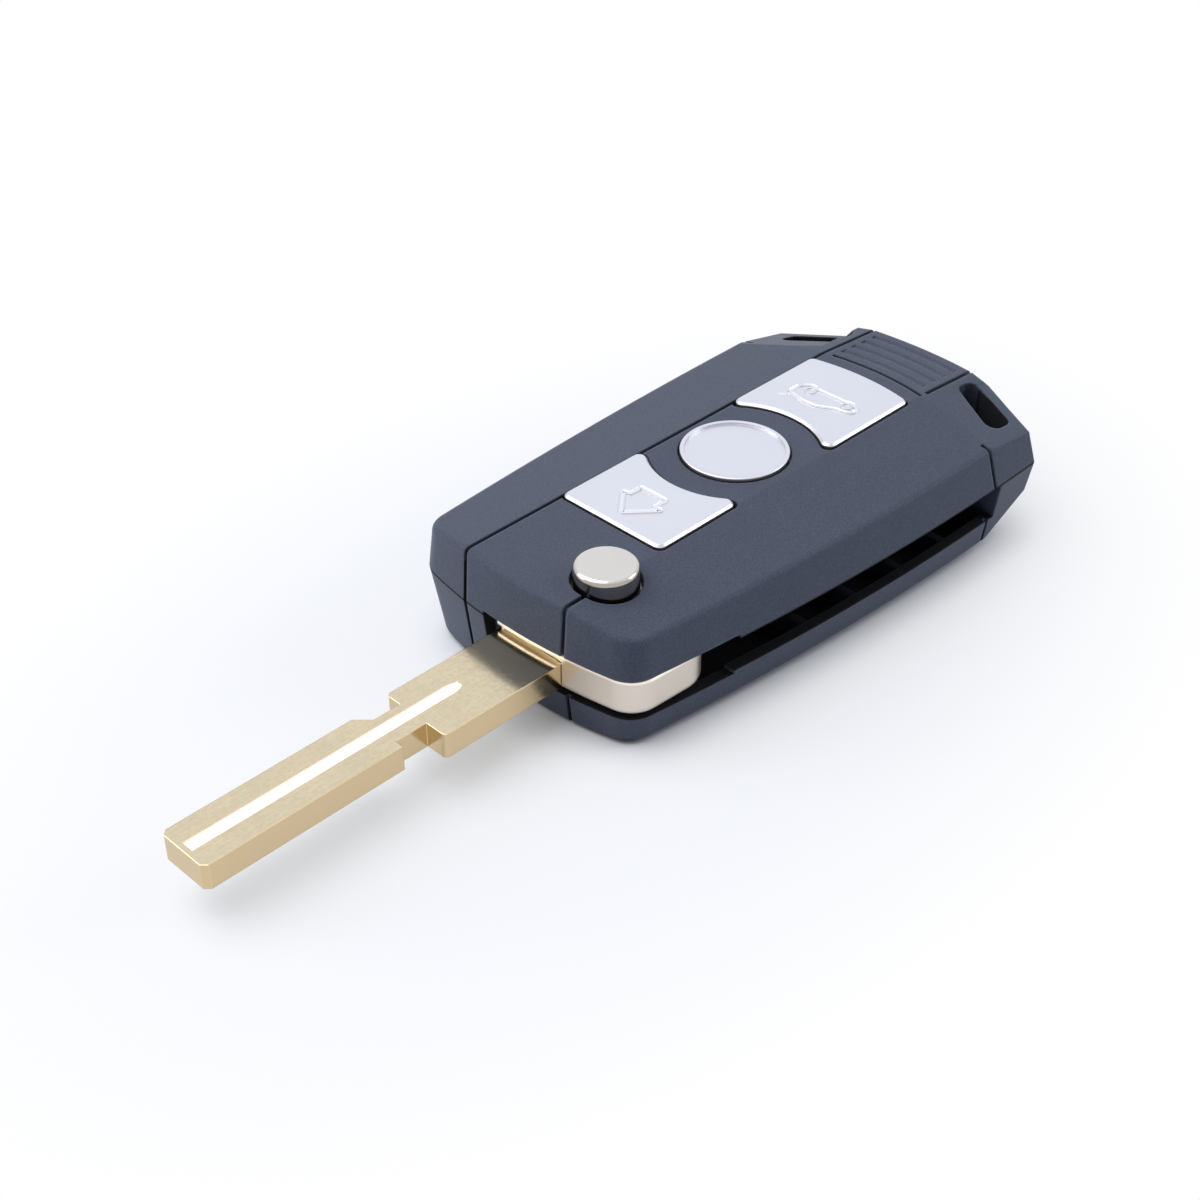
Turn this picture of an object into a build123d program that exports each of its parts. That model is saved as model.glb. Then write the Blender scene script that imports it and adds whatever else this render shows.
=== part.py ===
from build123d import *
import math
import os

os.makedirs("parts", exist_ok=True)

# Driving dimensions in millimetres. The key lies buttons up: +Z is up, +X runs from the
# blade to the key ring end, and the blade folds into the slot on the -Y side.
# The origin is under the middle of the whole length, on the surface the case rests on.

# Case, outside
body_length = 68.2
case_height = 15.0
parting_height = 8.75
nose_half_width = 15.4
belly_half_width = 18.65
hip_half_width = 19.35
belly_from_nose = 31.4
hip_from_nose = 57.4
nose_bow = 1.9
nose_corner_radius = 3.4
wing_corner_from_nose = 63.7
wing_corner_half_width = 19.2
wing_corner_radius = 1.8
wing_root_from_nose = 66.9
lug_half_width = 9.9
lug_crown_half_width = 8.4
lug_rise = 2.0
tail_bow = 1.0
# Lean of the walls between the parting line and the top or the underside
upper_nose_lean = 0.4
upper_corner_lean = 0.5
upper_side_lean = 2.0
upper_tail_lean = 0.3
lower_lean = 1.1
# Flat middle strip, the panels that fall away beside it and the sloped rear corners
strip_half_width = 7.1
upper_panel_angle = 9.7
lower_panel_angle = 4.6
crease_from_nose = 58.1
crease_skew = 2.4
left_crease_skew = 4.2
right_wing_drop = 0.85
left_wing_drop = 2.4
wing_bevel = 0.45
lower_wing_rise = 4.4
tail_fall = 0.8
tail_ramp_length = 4.6
tail_ramp_rise = 2.6
edge_radius = 0.7
wall = 1.3
tail_wall = 3.4
tail_hollow_half_width = 7.4
parting_gap = 0.1
opening_left = 4.1
# Moulded grooves
groove_width = 0.5
groove_depth = 0.45
side_groove_from_nose = 56.0
side_groove_reach = 2.6
# Ribbed grip at the tail
grip_arc_from_nose = 58.4
grip_arc_radius = 29.6
grip_margin = 1.1
ridge_pitch = 1.9
ridge_count = 4
ridge_depth = 0.15
ridge_section_radius = 0.75
# Key ring holes: corner stations from the nose and from the middle
ring_hole_points = ((62.8, 8.3), (66.0, 8.3), (62.9, 15.9), (59.1, 15.9))
ring_hole_radius = 1.2

# Buttons
button_gap = 0.22
button_half_width = 7.08
button_corner_radius = 0.9
button_height = 0.4
button_travel = 0.4
button_flange = 0.55
button_flange_depth = 0.6
button_edge = 0.25
round_button_radius = 6.0
round_button_from_nose = 33.7
round_button_rim = 0.49
round_button_recess = 0.25
button_arc_radius = 9.65
lock_button_front = 14.3
boot_button_rear = 55.1
boot_button_bow = 0.9
button_pocket_wall = 1.0
button_pocket_roof = 1.0
button_boss_radius = 1.6

# Flip mechanism
pivot_from_nose = 7.15
pivot_side = 6.6
flip_button_radius = 3.36
flip_hole_radius = 3.72
flip_button_proud = 1.85
flip_button_edge = 0.55
flip_button_wall = 0.7
flip_travel = 1.8
running_clearance = 0.08
hub_wall = 1.5
hub_gap = 0.15
lug_reach = 0.95
lug_width = 1.6
lug_length = 1.6
index_ring_thickness = 1.15
spigot_radius = 4.1
spigot_wall = 1.0
bearing_wall = 1.1
washer_thickness = 0.24
spring_wire = 0.55
spring_turns = 7
spring_mean_radius = 2.2
seat_thickness = 0.8
seat_post_height = 3.4
seat_post_radius = 1.5
seat_radius = 4.0
spigot_bottom = 2.3
skirt_length = 5.4
crown_thickness = 1.0
press_gap = 0.4
notch_gap = 0.2

# Blade head, a rounded block about the pivot
head_top = 9.05
head_bottom = 4.46
head_inset = 0.3
head_reach_rear = 6.2
head_reach_left = 8.75
head_reach_right = 8.8
head_side_flare = 0.8
head_corner_radius = 3.6
head_edge_radius = 1.2
head_bevel = 0.22
head_swing_gap = 0.7
rim_gap = 0.1

# Blade
blade_reach = 41.4
blade_thickness = 2.9
blade_bottom = 5.0
blade_width = 6.45
blade_left = 1.45
blade_root_left = 2.0
blade_root_width = 8.7
blade_root_length = 14.6
neck_length = 3.3
neck_depth_left = 1.5
neck_depth_right = 1.0
neck_slant = 1.5
tip_chamfer = 0.55
track_width = 1.5
track_depth = 0.5
track_tip_margin = 0.6
track_end_from_nose = 8.3
track_cutter_radius = 12.0
tang_inset = 0.6
socket_depth = 0.5
socket_slit = 0.45
tang_depth = 2.85
tang_ear_width = 3.4
tang_ear_length = 4.9
tang_gap = 0.08
blade_pin_radius = 0.75

# Slot for the folded blade
slot_lip = 4.2
head_lip = 3.8
slot_length = 57.15
slot_step_from_nose = 15.6
bay_inner_gap = 0.45
bay_wall = 1.1
bay_rib_pitch = 7.5
bay_rib_count = 4
bay_rib_thickness = 1.0
bay_rib_top = 3.9
board_rib_top = 2.8
board_rib_reach = 15.0
board_rib_from_nose = (41.0, 47.0)

# Inner pieces. Guard, tray, pad and domes share the height between the bay and the caps.
guard_share = 0.315
frame_share = 0.30
pad_share = 0.205
dome_share = 0.13
pad_half_width = 7.7
pad_corner_radius = 1.5
dome_radius = 2.4
dome_hollow = 0.35
frame_rim = 1.0
frame_swing_gap = 0.35
frame_left = 11.4
frame_right = 8.7
frame_window_radius = 1.7
frame_end_gap = 0.5
inner_screw_radius = 0.65
inner_screw_head_radius = 1.35
inner_screw_length = 3.0
inner_post_radius = 1.7
guard_screw_from_nose = (21.5, 37.0, 51.5)
guard_screw_side = 11.4
frame_screw_from_nose = (19.5, 50.5)
frame_screw_side = 9.7
guard_side_gap = 0.3
case_screw_radius = 0.9
case_screw_head_radius = 1.7
case_screw_head = 1.1
case_screw_sink = 0.4
case_screw_length = 9.0
case_post_radius = 2.4
case_screw_places = ((5.2, 9.8), (62.0, 0.0), (50.0, 14.2))
pivot_screw_head = 0.65
pivot_screw_length = 3.4
under_sink = 0.15
thread_gap = 0.05
fit_gap = 0.1
chip_from_nose = 21.5
chip_length = 13.0
chip_width = 6.6
chip_height = 3.0
chip_wall = 0.7
chip_side = 0.4
wire_gap = 0.05

# Places worked out from the driving dimensions
nose_x = (blade_reach - body_length) / 2
tail_x = nose_x + body_length
tip_x = nose_x - blade_reach
belly_x = nose_x + belly_from_nose
hip_x = nose_x + hip_from_nose
wing_corner_x = nose_x + wing_corner_from_nose
wing_root_x = nose_x + wing_root_from_nose
crease_x = nose_x + crease_from_nose
crease_outer_x = crease_x - crease_skew
left_crease_outer_x = crease_x - left_crease_skew
slot_end_x = nose_x + slot_length
slot_step_x = nose_x + slot_step_from_nose
pivot_x = nose_x + pivot_from_nose
pivot_y = -pivot_side
pivot = (pivot_x, pivot_y)
round_x = nose_x + round_button_from_nose
lock_front_x = nose_x + lock_button_front
boot_rear_x = nose_x + boot_button_rear
ceiling = case_height - wall
far = 4 * hip_half_width

boot_arc_radius = (button_half_width**2 + boot_button_bow**2) / (2 * boot_button_bow)
boot_arc_x = boot_rear_x + boot_button_bow - boot_arc_radius
nose_arc_radius = (nose_half_width**2 + nose_bow**2) / (2 * nose_bow)

blade_top = blade_bottom + blade_thickness
rim_over_head = head_top + rim_gap
hub_bore = flip_button_radius + running_clearance
hub_radius = hub_bore + hub_wall
hub_top = ceiling - index_ring_thickness - hub_gap
boss_bore = hub_radius + running_clearance
boss_radius = boss_bore + bearing_wall
head_rear_x = pivot_x + head_reach_rear
head_left_y = pivot_y + head_reach_left
head_front_right_y = pivot_y - head_reach_right
head_rear_right_y = head_front_right_y - head_side_flare
corner_u = head_reach_rear - head_corner_radius
corner_v = head_reach_right + head_side_flare - head_corner_radius
swing_radius = math.hypot(corner_u, corner_v) + head_corner_radius + head_swing_gap
bearing_top = head_bottom - washer_thickness - running_clearance / 4
bearing_bore = spigot_radius + running_clearance

blade_root_right = blade_root_left - blade_root_width
bay_inner_y = 2 * pivot_y - blade_root_right + bay_inner_gap

flange_top = ceiling - fit_gap
flange_bottom = flange_top - button_flange_depth
guard_bottom = parting_height + running_clearance
stack_height = flange_bottom - guard_bottom - button_travel - fit_gap
guard_thickness = stack_height * guard_share
guard_top = guard_bottom + guard_thickness
frame_bottom = guard_top + fit_gap / 2
frame_thickness = stack_height * frame_share
frame_top = frame_bottom + frame_thickness
pad_thickness = stack_height * pad_share
pad_top = frame_top + pad_thickness
dome_rise = stack_height * dome_share
frame_rim_depth = frame_bottom - head_top - frame_swing_gap
inner_screw_head = frame_thickness / 2
hub_floor = case_height - skirt_length - flip_travel - press_gap

case_screw_spots = [(nose_x + x, y) for x, y in case_screw_places]
guard_screw_spots = [(nose_x + x, -guard_screw_side) for x in guard_screw_from_nose]
frame_screw_spots = [(nose_x + x, frame_screw_side) for x in frame_screw_from_nose]
screw_seat = case_screw_sink + case_screw_head
screw_tip = screw_seat + case_screw_length
lock_centre_x = (lock_front_x + round_x - button_arc_radius) / 2
boot_centre_x = (boot_rear_x + boot_button_bow + round_x + button_arc_radius) / 2
dome_spots = [(lock_centre_x, 0), (round_x, 0), (boot_centre_x, 0)]
button_top = case_height + button_height
lug_top = hub_top - running_clearance
lug_radius = flip_button_radius + lug_reach
seat_top = wall + seat_thickness
button_crown = case_height + flip_button_proud - crown_thickness
chamber_radius = spring_mean_radius + spring_wire / 2 + running_clearance * 3
grip_centre_x = nose_x + grip_arc_from_nose - grip_arc_radius
groove_x = nose_x + side_groove_from_nose
frame_front_x = lock_front_x + fit_gap
frame_end_x = slot_end_x - frame_end_gap
guard_front_x = pivot_x + swing_radius + frame_end_gap
shoulder_x = nose_x + head_inset + socket_depth
tang_x = nose_x + head_inset + tang_depth
ear_x = tang_x + tang_ear_length - running_clearance
tang_left = blade_root_left - tang_inset
tang_right = blade_root_right + tang_inset
pin_spot = (tang_x + tang_ear_length / 2, tang_left - tang_ear_width / 2)
neck_x = nose_x - blade_root_length
neck_end_x = neck_x - neck_length
blade_right = blade_left - blade_width
track_y = (blade_left + blade_right) / 2
track_end_x = nose_x - track_end_from_nose - math.sqrt(2 * track_cutter_radius * track_depth - track_depth**2)


# Closed form of the whole case, or of the hollow inside it when skin is a wall. The walls
# lean in from the parting line to the top and to the underside.
def case_form(skin):
    at_parting = (parting_height, 0, 0, 0, 0)
    at_top = (case_height, upper_nose_lean, upper_corner_lean, upper_side_lean, upper_tail_lean)
    at_bottom = (0, lower_lean, lower_lean, lower_lean, lower_lean)
    with BuildPart() as form:
        for levels in ((at_parting, at_top), (at_bottom, at_parting)):
            for height, nose_lean, corner_lean, side_lean, tail_lean in levels:
                nose = nose_x + nose_lean + skin
                tail = tail_x - tail_lean - skin
                side = side_lean + skin
                corner = (nose + nose_bow, corner_lean + skin - nose_half_width)
                belly = (belly_x, side - belly_half_width)
                hip = (hip_x, side - hip_half_width)
                wing = (wing_corner_x - tail_lean - skin, side - wing_corner_half_width)
                root = (wing_root_x - tail_lean - skin, skin - lug_half_width - edge_radius)
                lug = (tail - tail_bow, skin - lug_half_width)
                with BuildSketch(Plane.XY.offset(height)):
                    with BuildLine():
                        TangentArc((nose, 0), corner, tangent=(0, -1))
                        ThreePointArc(corner, belly, hip)
                        Polyline(hip, wing, root, lug)
                        TangentArc((tail, 0), lug, tangent=(0, -1))
                        mirror(about=Plane.XZ)
                    make_face()
                    nose_corners = [v for v in vertices() if abs(v.X - corner[0]) < 0.01]
                    wing_corners = [v for v in vertices() if abs(v.X - wing[0]) < 0.01]
                    fillet(nose_corners, nose_corner_radius)
                    fillet(wing_corners, wing_corner_radius)
            loft(ruled=True)
        # Flat strip in the middle, panels sloping away beside it
        top = case_height - skin
        reach = hip_half_width + wall
        top_drop = (reach - strip_half_width) * math.tan(math.radians(upper_panel_angle))
        bottom_rise = (reach - strip_half_width) * math.tan(math.radians(lower_panel_angle))
        with BuildSketch(Plane.YZ.offset(-far)):
            with BuildLine():
                Polyline(
                    (-strip_half_width, skin),
                    (strip_half_width, skin),
                    (reach, skin + bottom_rise),
                    (reach, top - top_drop),
                    (strip_half_width, top),
                    (-strip_half_width, top),
                    (-reach, top - top_drop),
                    (-reach, skin + bottom_rise),
                    close=True,
                )
            make_face()
        extrude(amount=2 * far, mode=Mode.INTERSECT)
        # From the hips on the top falls a little towards the tail
        with BuildSketch(Plane.YZ.offset(hip_x)):
            with BuildLine():
                Polyline(
                    (-strip_half_width, top),
                    (strip_half_width, top),
                    (reach, top - top_drop),
                    (reach, far),
                    (-reach, far),
                    (-reach, top - top_drop),
                    close=True,
                )
            make_face()
        extrude(amount=far, dir=(tail_x - hip_x, 0, -tail_fall), mode=Mode.SUBTRACT)
    return form.part


# Height of the sloping panels at a distance from the middle
def upper_panel(y):
    return case_height - (y - strip_half_width) * math.tan(math.radians(upper_panel_angle))


def lower_panel(y):
    return (y - strip_half_width) * math.tan(math.radians(lower_panel_angle))


# The rear corners slope away behind a crease, above and below, the left one further
def corner_plane(side, outer_x, panel, change):
    inner = Vector(crease_x, side * lug_half_width, panel(lug_half_width))
    outer = Vector(outer_x, side * hip_half_width, panel(hip_half_width))
    end = Vector(wing_corner_x, side * hip_half_width, panel(hip_half_width) + change)
    return Plane(origin=inner, x_dir=outer - inner, z_dir=(outer - inner).cross(end - inner) * -side)


# A small bevel where an upper corner meets its rear wall
def bevel_plane(side, roof):
    ends = ((wing_root_x, lug_half_width + edge_radius), (wing_corner_x, wing_corner_half_width))
    first, second = [Vector(x - upper_tail_lean, side * y, -wing_bevel) for x, y in ends]
    first.Z += roof.origin.Z - roof.z_dir.dot(first - roof.origin) / roof.z_dir.Z
    second.Z += roof.origin.Z - roof.z_dir.dot(second - roof.origin) / roof.z_dir.Z
    return Plane(origin=first, x_dir=second - first, z_dir=(second - first).cross(Vector(-1, 0, 1)) * side)


# What a sloping plane takes off a corner, beside the slanted wall of the lug
def corner_block(side, plane, keep):
    with BuildPart() as block:
        with BuildSketch(Plane.YZ.offset(left_crease_outer_x - wall)):
            with BuildLine():
                Polyline(
                    (side * lug_half_width, parting_height),
                    (side * lug_half_width, case_height - lug_rise),
                    (side * lug_crown_half_width, case_height),
                    (side * lug_crown_half_width, far),
                    (side * far, far),
                    (side * far, -far),
                    (side * lug_half_width, -far),
                    close=True,
                )
            make_face()
        extrude(amount=far)
        split(bisect_by=Plane.XY.offset(parting_height), keep=keep)
        split(bisect_by=plane, keep=keep)
    return block.part


right_roof = corner_plane(-1, crease_outer_x, upper_panel, -right_wing_drop)
left_roof = corner_plane(1, left_crease_outer_x, upper_panel, -left_wing_drop)
with BuildPart() as upper_wing_cut:
    for side, roof in ((-1, right_roof), (1, left_roof)):
        add(corner_block(side, roof, Keep.TOP))
        add(corner_block(side, bevel_plane(side, roof), Keep.TOP))

with BuildPart() as lower_wing_cut:
    for side in (-1, 1):
        under = corner_plane(side, crease_outer_x, lower_panel, lower_wing_rise)
        add(corner_block(side, under, Keep.BOTTOM))

# Outside of the closed case, with its soft edges
with BuildPart() as case_outer:
    add(case_form(0))
    flat_faces = [f for f in faces() if abs(f.normal_at().Z) > 0.7]
    flat_edges = [e for f in flat_faces for e in f.edges()]
    fillet([e for e in flat_edges if sum(e.is_same(o) for o in flat_edges) == 1], edge_radius)
    add(upper_wing_cut.part, mode=Mode.SUBTRACT)
    add(lower_wing_cut.part, mode=Mode.SUBTRACT)
    with BuildSketch(Plane.XZ.offset(-far)):
        with BuildLine():
            Polyline(
                (tail_x - tail_ramp_length, 0),
                (tail_x + tail_ramp_length, 2 * tail_ramp_rise),
                (tail_x + tail_ramp_length, -tail_ramp_rise),
                (tail_x - tail_ramp_length, -tail_ramp_rise),
                close=True,
            )
        make_face()
    extrude(amount=2 * far, mode=Mode.SUBTRACT)

# Hollow of the closed case: only the strip runs on between the solid rear corners
with BuildPart() as case_hollow:
    add(case_form(wall))
    with BuildSketch():
        with Locations((slot_end_x, tail_hollow_half_width)):
            Rectangle(far, far, align=(Align.MIN, Align.MIN))
        with Locations((slot_end_x, -tail_hollow_half_width)):
            Rectangle(far, far, align=(Align.MIN, Align.MAX))
        with Locations((tail_x - tail_wall, 0)):
            Rectangle(far, far, align=(Align.MIN, Align.CENTER))
    extrude(amount=case_height, mode=Mode.SUBTRACT)

# Grooves run round the case at one depth under its skin
with BuildPart() as grooves:
    with Locations((0, strip_half_width, case_height / 2)):
        Box(2 * far, groove_width, far)
    with Locations((nose_x + pivot_from_nose - hub_bore, -strip_half_width, case_height / 2)):
        Box(far, groove_width, far, align=(Align.MAX, Align.CENTER, Align.CENTER))
    with Locations((nose_x + grip_arc_from_nose, -strip_half_width, case_height / 2)):
        Box(far, groove_width, far, align=(Align.MIN, Align.CENTER, Align.MIN))
    for side in (-1, 1):
        with Locations((groove_x, side * (hip_half_width - side_groove_reach + far / 2), case_height / 2)):
            Box(groove_width, far, far)
    add(case_form(groove_depth), mode=Mode.SUBTRACT)

# Arc groove and the softer arcs of the grip behind it
with BuildPart() as grip:
    with BuildSketch(Plane.XY.offset(case_height - groove_depth)):
        with Locations((grip_centre_x, 0)):
            Circle(grip_arc_radius + groove_width / 2)
            Circle(grip_arc_radius - groove_width / 2, mode=Mode.SUBTRACT)
        with Locations((grip_centre_x, -strip_half_width)):
            Rectangle(
                far,
                2 * strip_half_width - grip_margin,
                align=(Align.MIN, Align.MIN),
                mode=Mode.INTERSECT,
            )
    extrude(amount=far)

with BuildPart() as ridges:
    with BuildSketch(Plane.XZ):
        for ridge in range(1, ridge_count + 1):
            reach = grip_centre_x + grip_arc_radius + ridge * ridge_pitch
            roof = case_height - tail_fall * (reach - hip_x) / (tail_x - hip_x)
            with Locations((reach, roof - ridge_depth + ridge_section_radius)):
                Circle(ridge_section_radius)
    revolve(axis=Axis((grip_centre_x, 0, 0), (0, 0, 1)))
    with BuildSketch(Plane.XY.offset(ceiling)):
        with Locations((hip_x, 0)):
            Rectangle(far, 2 * (strip_half_width - grip_margin), align=(Align.MIN, Align.CENTER))
    extrude(amount=far, mode=Mode.INTERSECT)

# Key ring holes through both rear corners
with BuildPart() as ring_holes:
    with BuildSketch():
        with BuildLine():
            Polyline([(nose_x + x, y) for x, y in ring_hole_points], close=True)
        make_face()
        fillet(vertices(), ring_hole_radius)
        mirror(about=Plane.XZ)
    extrude(amount=case_height)

# Opening for the blade and its head: it only goes through the wall
with BuildPart() as slot_opening:
    with BuildSketch(Plane.XY.offset(slot_lip)):
        with Locations((slot_step_x, bay_inner_y)):
            Rectangle(slot_end_x - slot_step_x, far, align=(Align.MIN, Align.MAX))
    extrude(amount=parting_height - slot_lip)
    with BuildSketch(Plane.XY.offset(head_lip)):
        with Locations((slot_step_x, opening_left)):
            Rectangle(far, far, align=(Align.MAX, Align.MAX))
    extrude(amount=rim_over_head - head_lip)
    add(case_form(wall), mode=Mode.SUBTRACT)


# Outlines of the three button faces
def lock_face(grow):
    with BuildSketch() as face:
        with Locations((lock_front_x - grow, 0)):
            Rectangle(far, 2 * (button_half_width + grow), align=(Align.MIN, Align.CENTER))
        with Locations((round_x, 0)):
            Rectangle(far, far, align=(Align.MIN, Align.CENTER), mode=Mode.SUBTRACT)
            Circle(button_arc_radius - grow, mode=Mode.SUBTRACT)
        fillet(vertices(), button_corner_radius)
    return face.sketch


def round_face(grow):
    with BuildSketch() as face:
        with Locations((round_x, 0)):
            Circle(round_button_radius + grow)
    return face.sketch


def boot_face(grow):
    with BuildSketch() as face:
        with Locations((round_x, 0)):
            Rectangle(far, 2 * (button_half_width + grow), align=(Align.MIN, Align.CENTER))
        with Locations((boot_arc_x, 0)):
            Circle(boot_arc_radius + grow, mode=Mode.INTERSECT)
        with Locations((round_x, 0)):
            Circle(button_arc_radius - grow, mode=Mode.SUBTRACT)
        fillet(vertices(), button_corner_radius)
    return face.sketch


# Posts and the hub's bearing that hang from the upper case
with BuildPart() as upper_inside:
    with BuildSketch(Plane.XY.offset(rim_over_head)):
        with Locations(pivot):
            Circle(boss_radius)
    extrude(amount=case_height)
    with BuildSketch(Plane.XY.offset(parting_height)):
        with Locations(*case_screw_spots):
            Circle(case_post_radius)
    extrude(amount=case_height)
    with BuildSketch(Plane.XY.offset(guard_top)):
        with Locations(*guard_screw_spots):
            Circle(inner_post_radius)
    extrude(amount=case_height)
    with BuildSketch(Plane.XY.offset(frame_top)):
        with Locations(*frame_screw_spots):
            Circle(inner_post_radius)
    extrude(amount=case_height)
    add(case_form(wall / 2), mode=Mode.INTERSECT)

with BuildPart() as upper_case:
    add(case_outer.part)
    split(bisect_by=Plane.XY.offset(parting_height), keep=Keep.TOP)
    add(case_hollow.part, mode=Mode.SUBTRACT)
    add(upper_inside.part, clean=False)
    add(grooves.part, mode=Mode.SUBTRACT)
    add(grip.part, mode=Mode.SUBTRACT)
    add(ridges.part, mode=Mode.SUBTRACT)
    add(ring_holes.part, mode=Mode.SUBTRACT)
    add(slot_opening.part, mode=Mode.SUBTRACT)
    with BuildSketch(Plane.XY.offset(ceiling - wall)):
        add(lock_face(button_gap))
        add(round_face(button_gap))
        add(boot_face(button_gap))
        with Locations(pivot):
            Circle(flip_hole_radius)
    extrude(amount=3 * wall, mode=Mode.SUBTRACT)
    with BuildSketch(Plane.XY.offset(parting_height)):
        with Locations(pivot):
            Circle(boss_bore)
    extrude(amount=ceiling - parting_height, mode=Mode.SUBTRACT)
    with BuildSketch(Plane.XY.offset(parting_height)):
        with Locations(*case_screw_spots):
            Circle(case_screw_radius + thread_gap)
    extrude(amount=screw_tip + fit_gap - parting_height, mode=Mode.SUBTRACT)
    with BuildSketch(Plane.XY.offset(parting_height)):
        with Locations(*guard_screw_spots, *frame_screw_spots):
            Circle(inner_screw_radius + thread_gap)
    extrude(amount=frame_bottom + inner_screw_length + fit_gap - parting_height, mode=Mode.SUBTRACT)
upper_case.part.label = "upper_case"
export_step(upper_case.part, "parts/upper_case.step")

# Walls, ribs and posts that stand on the floor of the lower case
with BuildPart() as lower_inside:
    with BuildSketch():
        with Locations(pivot):
            Circle(swing_radius + bay_wall)
            Circle(swing_radius, mode=Mode.SUBTRACT)
        with Locations((0, bay_inner_y)):
            Rectangle(far, far, align=(Align.CENTER, Align.MAX), mode=Mode.SUBTRACT)
        with Locations((pivot_x + swing_radius, bay_inner_y)):
            Rectangle(slot_end_x - pivot_x - swing_radius + wall, bay_wall, align=(Align.MIN, Align.MIN))
        with Locations(*case_screw_spots):
            Circle(case_post_radius)
    extrude(amount=parting_height)
    with BuildSketch():
        with Locations(pivot):
            Circle(bearing_bore + bearing_wall)
    extrude(amount=bearing_top)
    with BuildSketch():
        for rib in range(bay_rib_count):
            with Locations((slot_end_x - (rib + 1) * bay_rib_pitch, bay_inner_y)):
                Rectangle(bay_rib_thickness, far, align=(Align.CENTER, Align.MAX))
    extrude(amount=bay_rib_top)
    with BuildSketch():
        for from_nose in board_rib_from_nose:
            with Locations((nose_x + from_nose, bay_inner_y)):
                Rectangle(bay_rib_thickness, board_rib_reach, align=(Align.CENTER, Align.MIN))
    extrude(amount=board_rib_top)
    add(case_form(wall / 2), mode=Mode.INTERSECT)

with BuildPart() as lower_case:
    add(case_outer.part)
    split(bisect_by=Plane.XY.offset(parting_height - parting_gap), keep=Keep.BOTTOM)
    add(case_hollow.part, mode=Mode.SUBTRACT)
    add(lower_inside.part)
    split(bisect_by=Plane.XY.offset(parting_height - parting_gap), keep=Keep.BOTTOM)
    add(grooves.part, mode=Mode.SUBTRACT)
    add(ring_holes.part, mode=Mode.SUBTRACT)
    add(slot_opening.part, mode=Mode.SUBTRACT)
    with BuildSketch():
        with Locations(*case_screw_spots):
            Circle(case_screw_head_radius + fit_gap)
    extrude(amount=screw_seat, mode=Mode.SUBTRACT)
    with BuildSketch():
        with Locations(*case_screw_spots):
            Circle(case_screw_radius + thread_gap)
    extrude(amount=parting_height, mode=Mode.SUBTRACT)
    with BuildSketch(Plane.XY.offset(wall)):
        with Locations(pivot):
            Circle(bearing_bore)
    extrude(amount=case_height, mode=Mode.SUBTRACT)
    with BuildSketch():
        with Locations(pivot):
            Circle(inner_screw_head_radius + fit_gap)
    extrude(amount=under_sink + pivot_screw_head, mode=Mode.SUBTRACT)
    with BuildSketch():
        with Locations(pivot):
            Circle(inner_screw_radius + thread_gap)
    extrude(amount=2 * wall, mode=Mode.SUBTRACT)
lower_case.part.label = "lower_case"
export_step(lower_case.part, "parts/lower_case.step")


# Front button cap, hollow behind its face, kept in by a flange under the case
with BuildPart() as lock_button:
    with BuildSketch(Plane.XY.offset(flange_bottom)):
        add(lock_face(0))
    extrude(amount=button_top - flange_bottom)
    chamfer(faces().sort_by(Axis.Z)[-1].edges(), button_edge)
    with BuildSketch(Plane.XY.offset(flange_bottom)):
        add(lock_face(button_flange))
    extrude(amount=button_flange_depth)
    with BuildSketch(Plane.XY.offset(flange_bottom)):
        add(lock_face(-button_pocket_wall))
        with Locations(dome_spots[0]):
            Circle(button_boss_radius, mode=Mode.SUBTRACT)
    extrude(amount=button_top - flange_bottom - button_pocket_roof, mode=Mode.SUBTRACT)
lock_button.part.label = "lock_button"
export_step(lock_button.part, "parts/lock_button.step")

# Round middle cap with a bare sunk disc
with BuildPart() as unlock_button:
    with BuildSketch(Plane.XY.offset(flange_bottom)):
        add(round_face(0))
    extrude(amount=button_top - flange_bottom)
    fillet(faces().sort_by(Axis.Z)[-1].edges(), button_edge / 2)
    with BuildSketch(Plane.XY.offset(button_top - round_button_recess)):
        add(round_face(-round_button_rim))
    extrude(amount=case_height, mode=Mode.SUBTRACT)
    with BuildSketch(Plane.XY.offset(flange_bottom)):
        add(round_face(button_flange))
    extrude(amount=button_flange_depth)
    with BuildSketch(Plane.XY.offset(flange_bottom)):
        add(round_face(-button_pocket_wall))
        with Locations(dome_spots[1]):
            Circle(button_boss_radius, mode=Mode.SUBTRACT)
    extrude(amount=button_top - flange_bottom - button_pocket_roof, mode=Mode.SUBTRACT)
unlock_button.part.label = "unlock_button"
export_step(unlock_button.part, "parts/unlock_button.step")

# Rear cap that opens the boot
with BuildPart() as boot_button:
    with BuildSketch(Plane.XY.offset(flange_bottom)):
        add(boot_face(0))
    extrude(amount=button_top - flange_bottom)
    chamfer(faces().sort_by(Axis.Z)[-1].edges(), button_edge)
    with BuildSketch(Plane.XY.offset(flange_bottom)):
        add(boot_face(button_flange))
    extrude(amount=button_flange_depth)
    with BuildSketch(Plane.XY.offset(flange_bottom)):
        add(boot_face(-button_pocket_wall))
        with Locations(dome_spots[2]):
            Circle(button_boss_radius, mode=Mode.SUBTRACT)
    extrude(amount=button_top - flange_bottom - button_pocket_roof, mode=Mode.SUBTRACT)
boot_button.part.label = "boot_button"
export_step(boot_button.part, "parts/boot_button.step")

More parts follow.
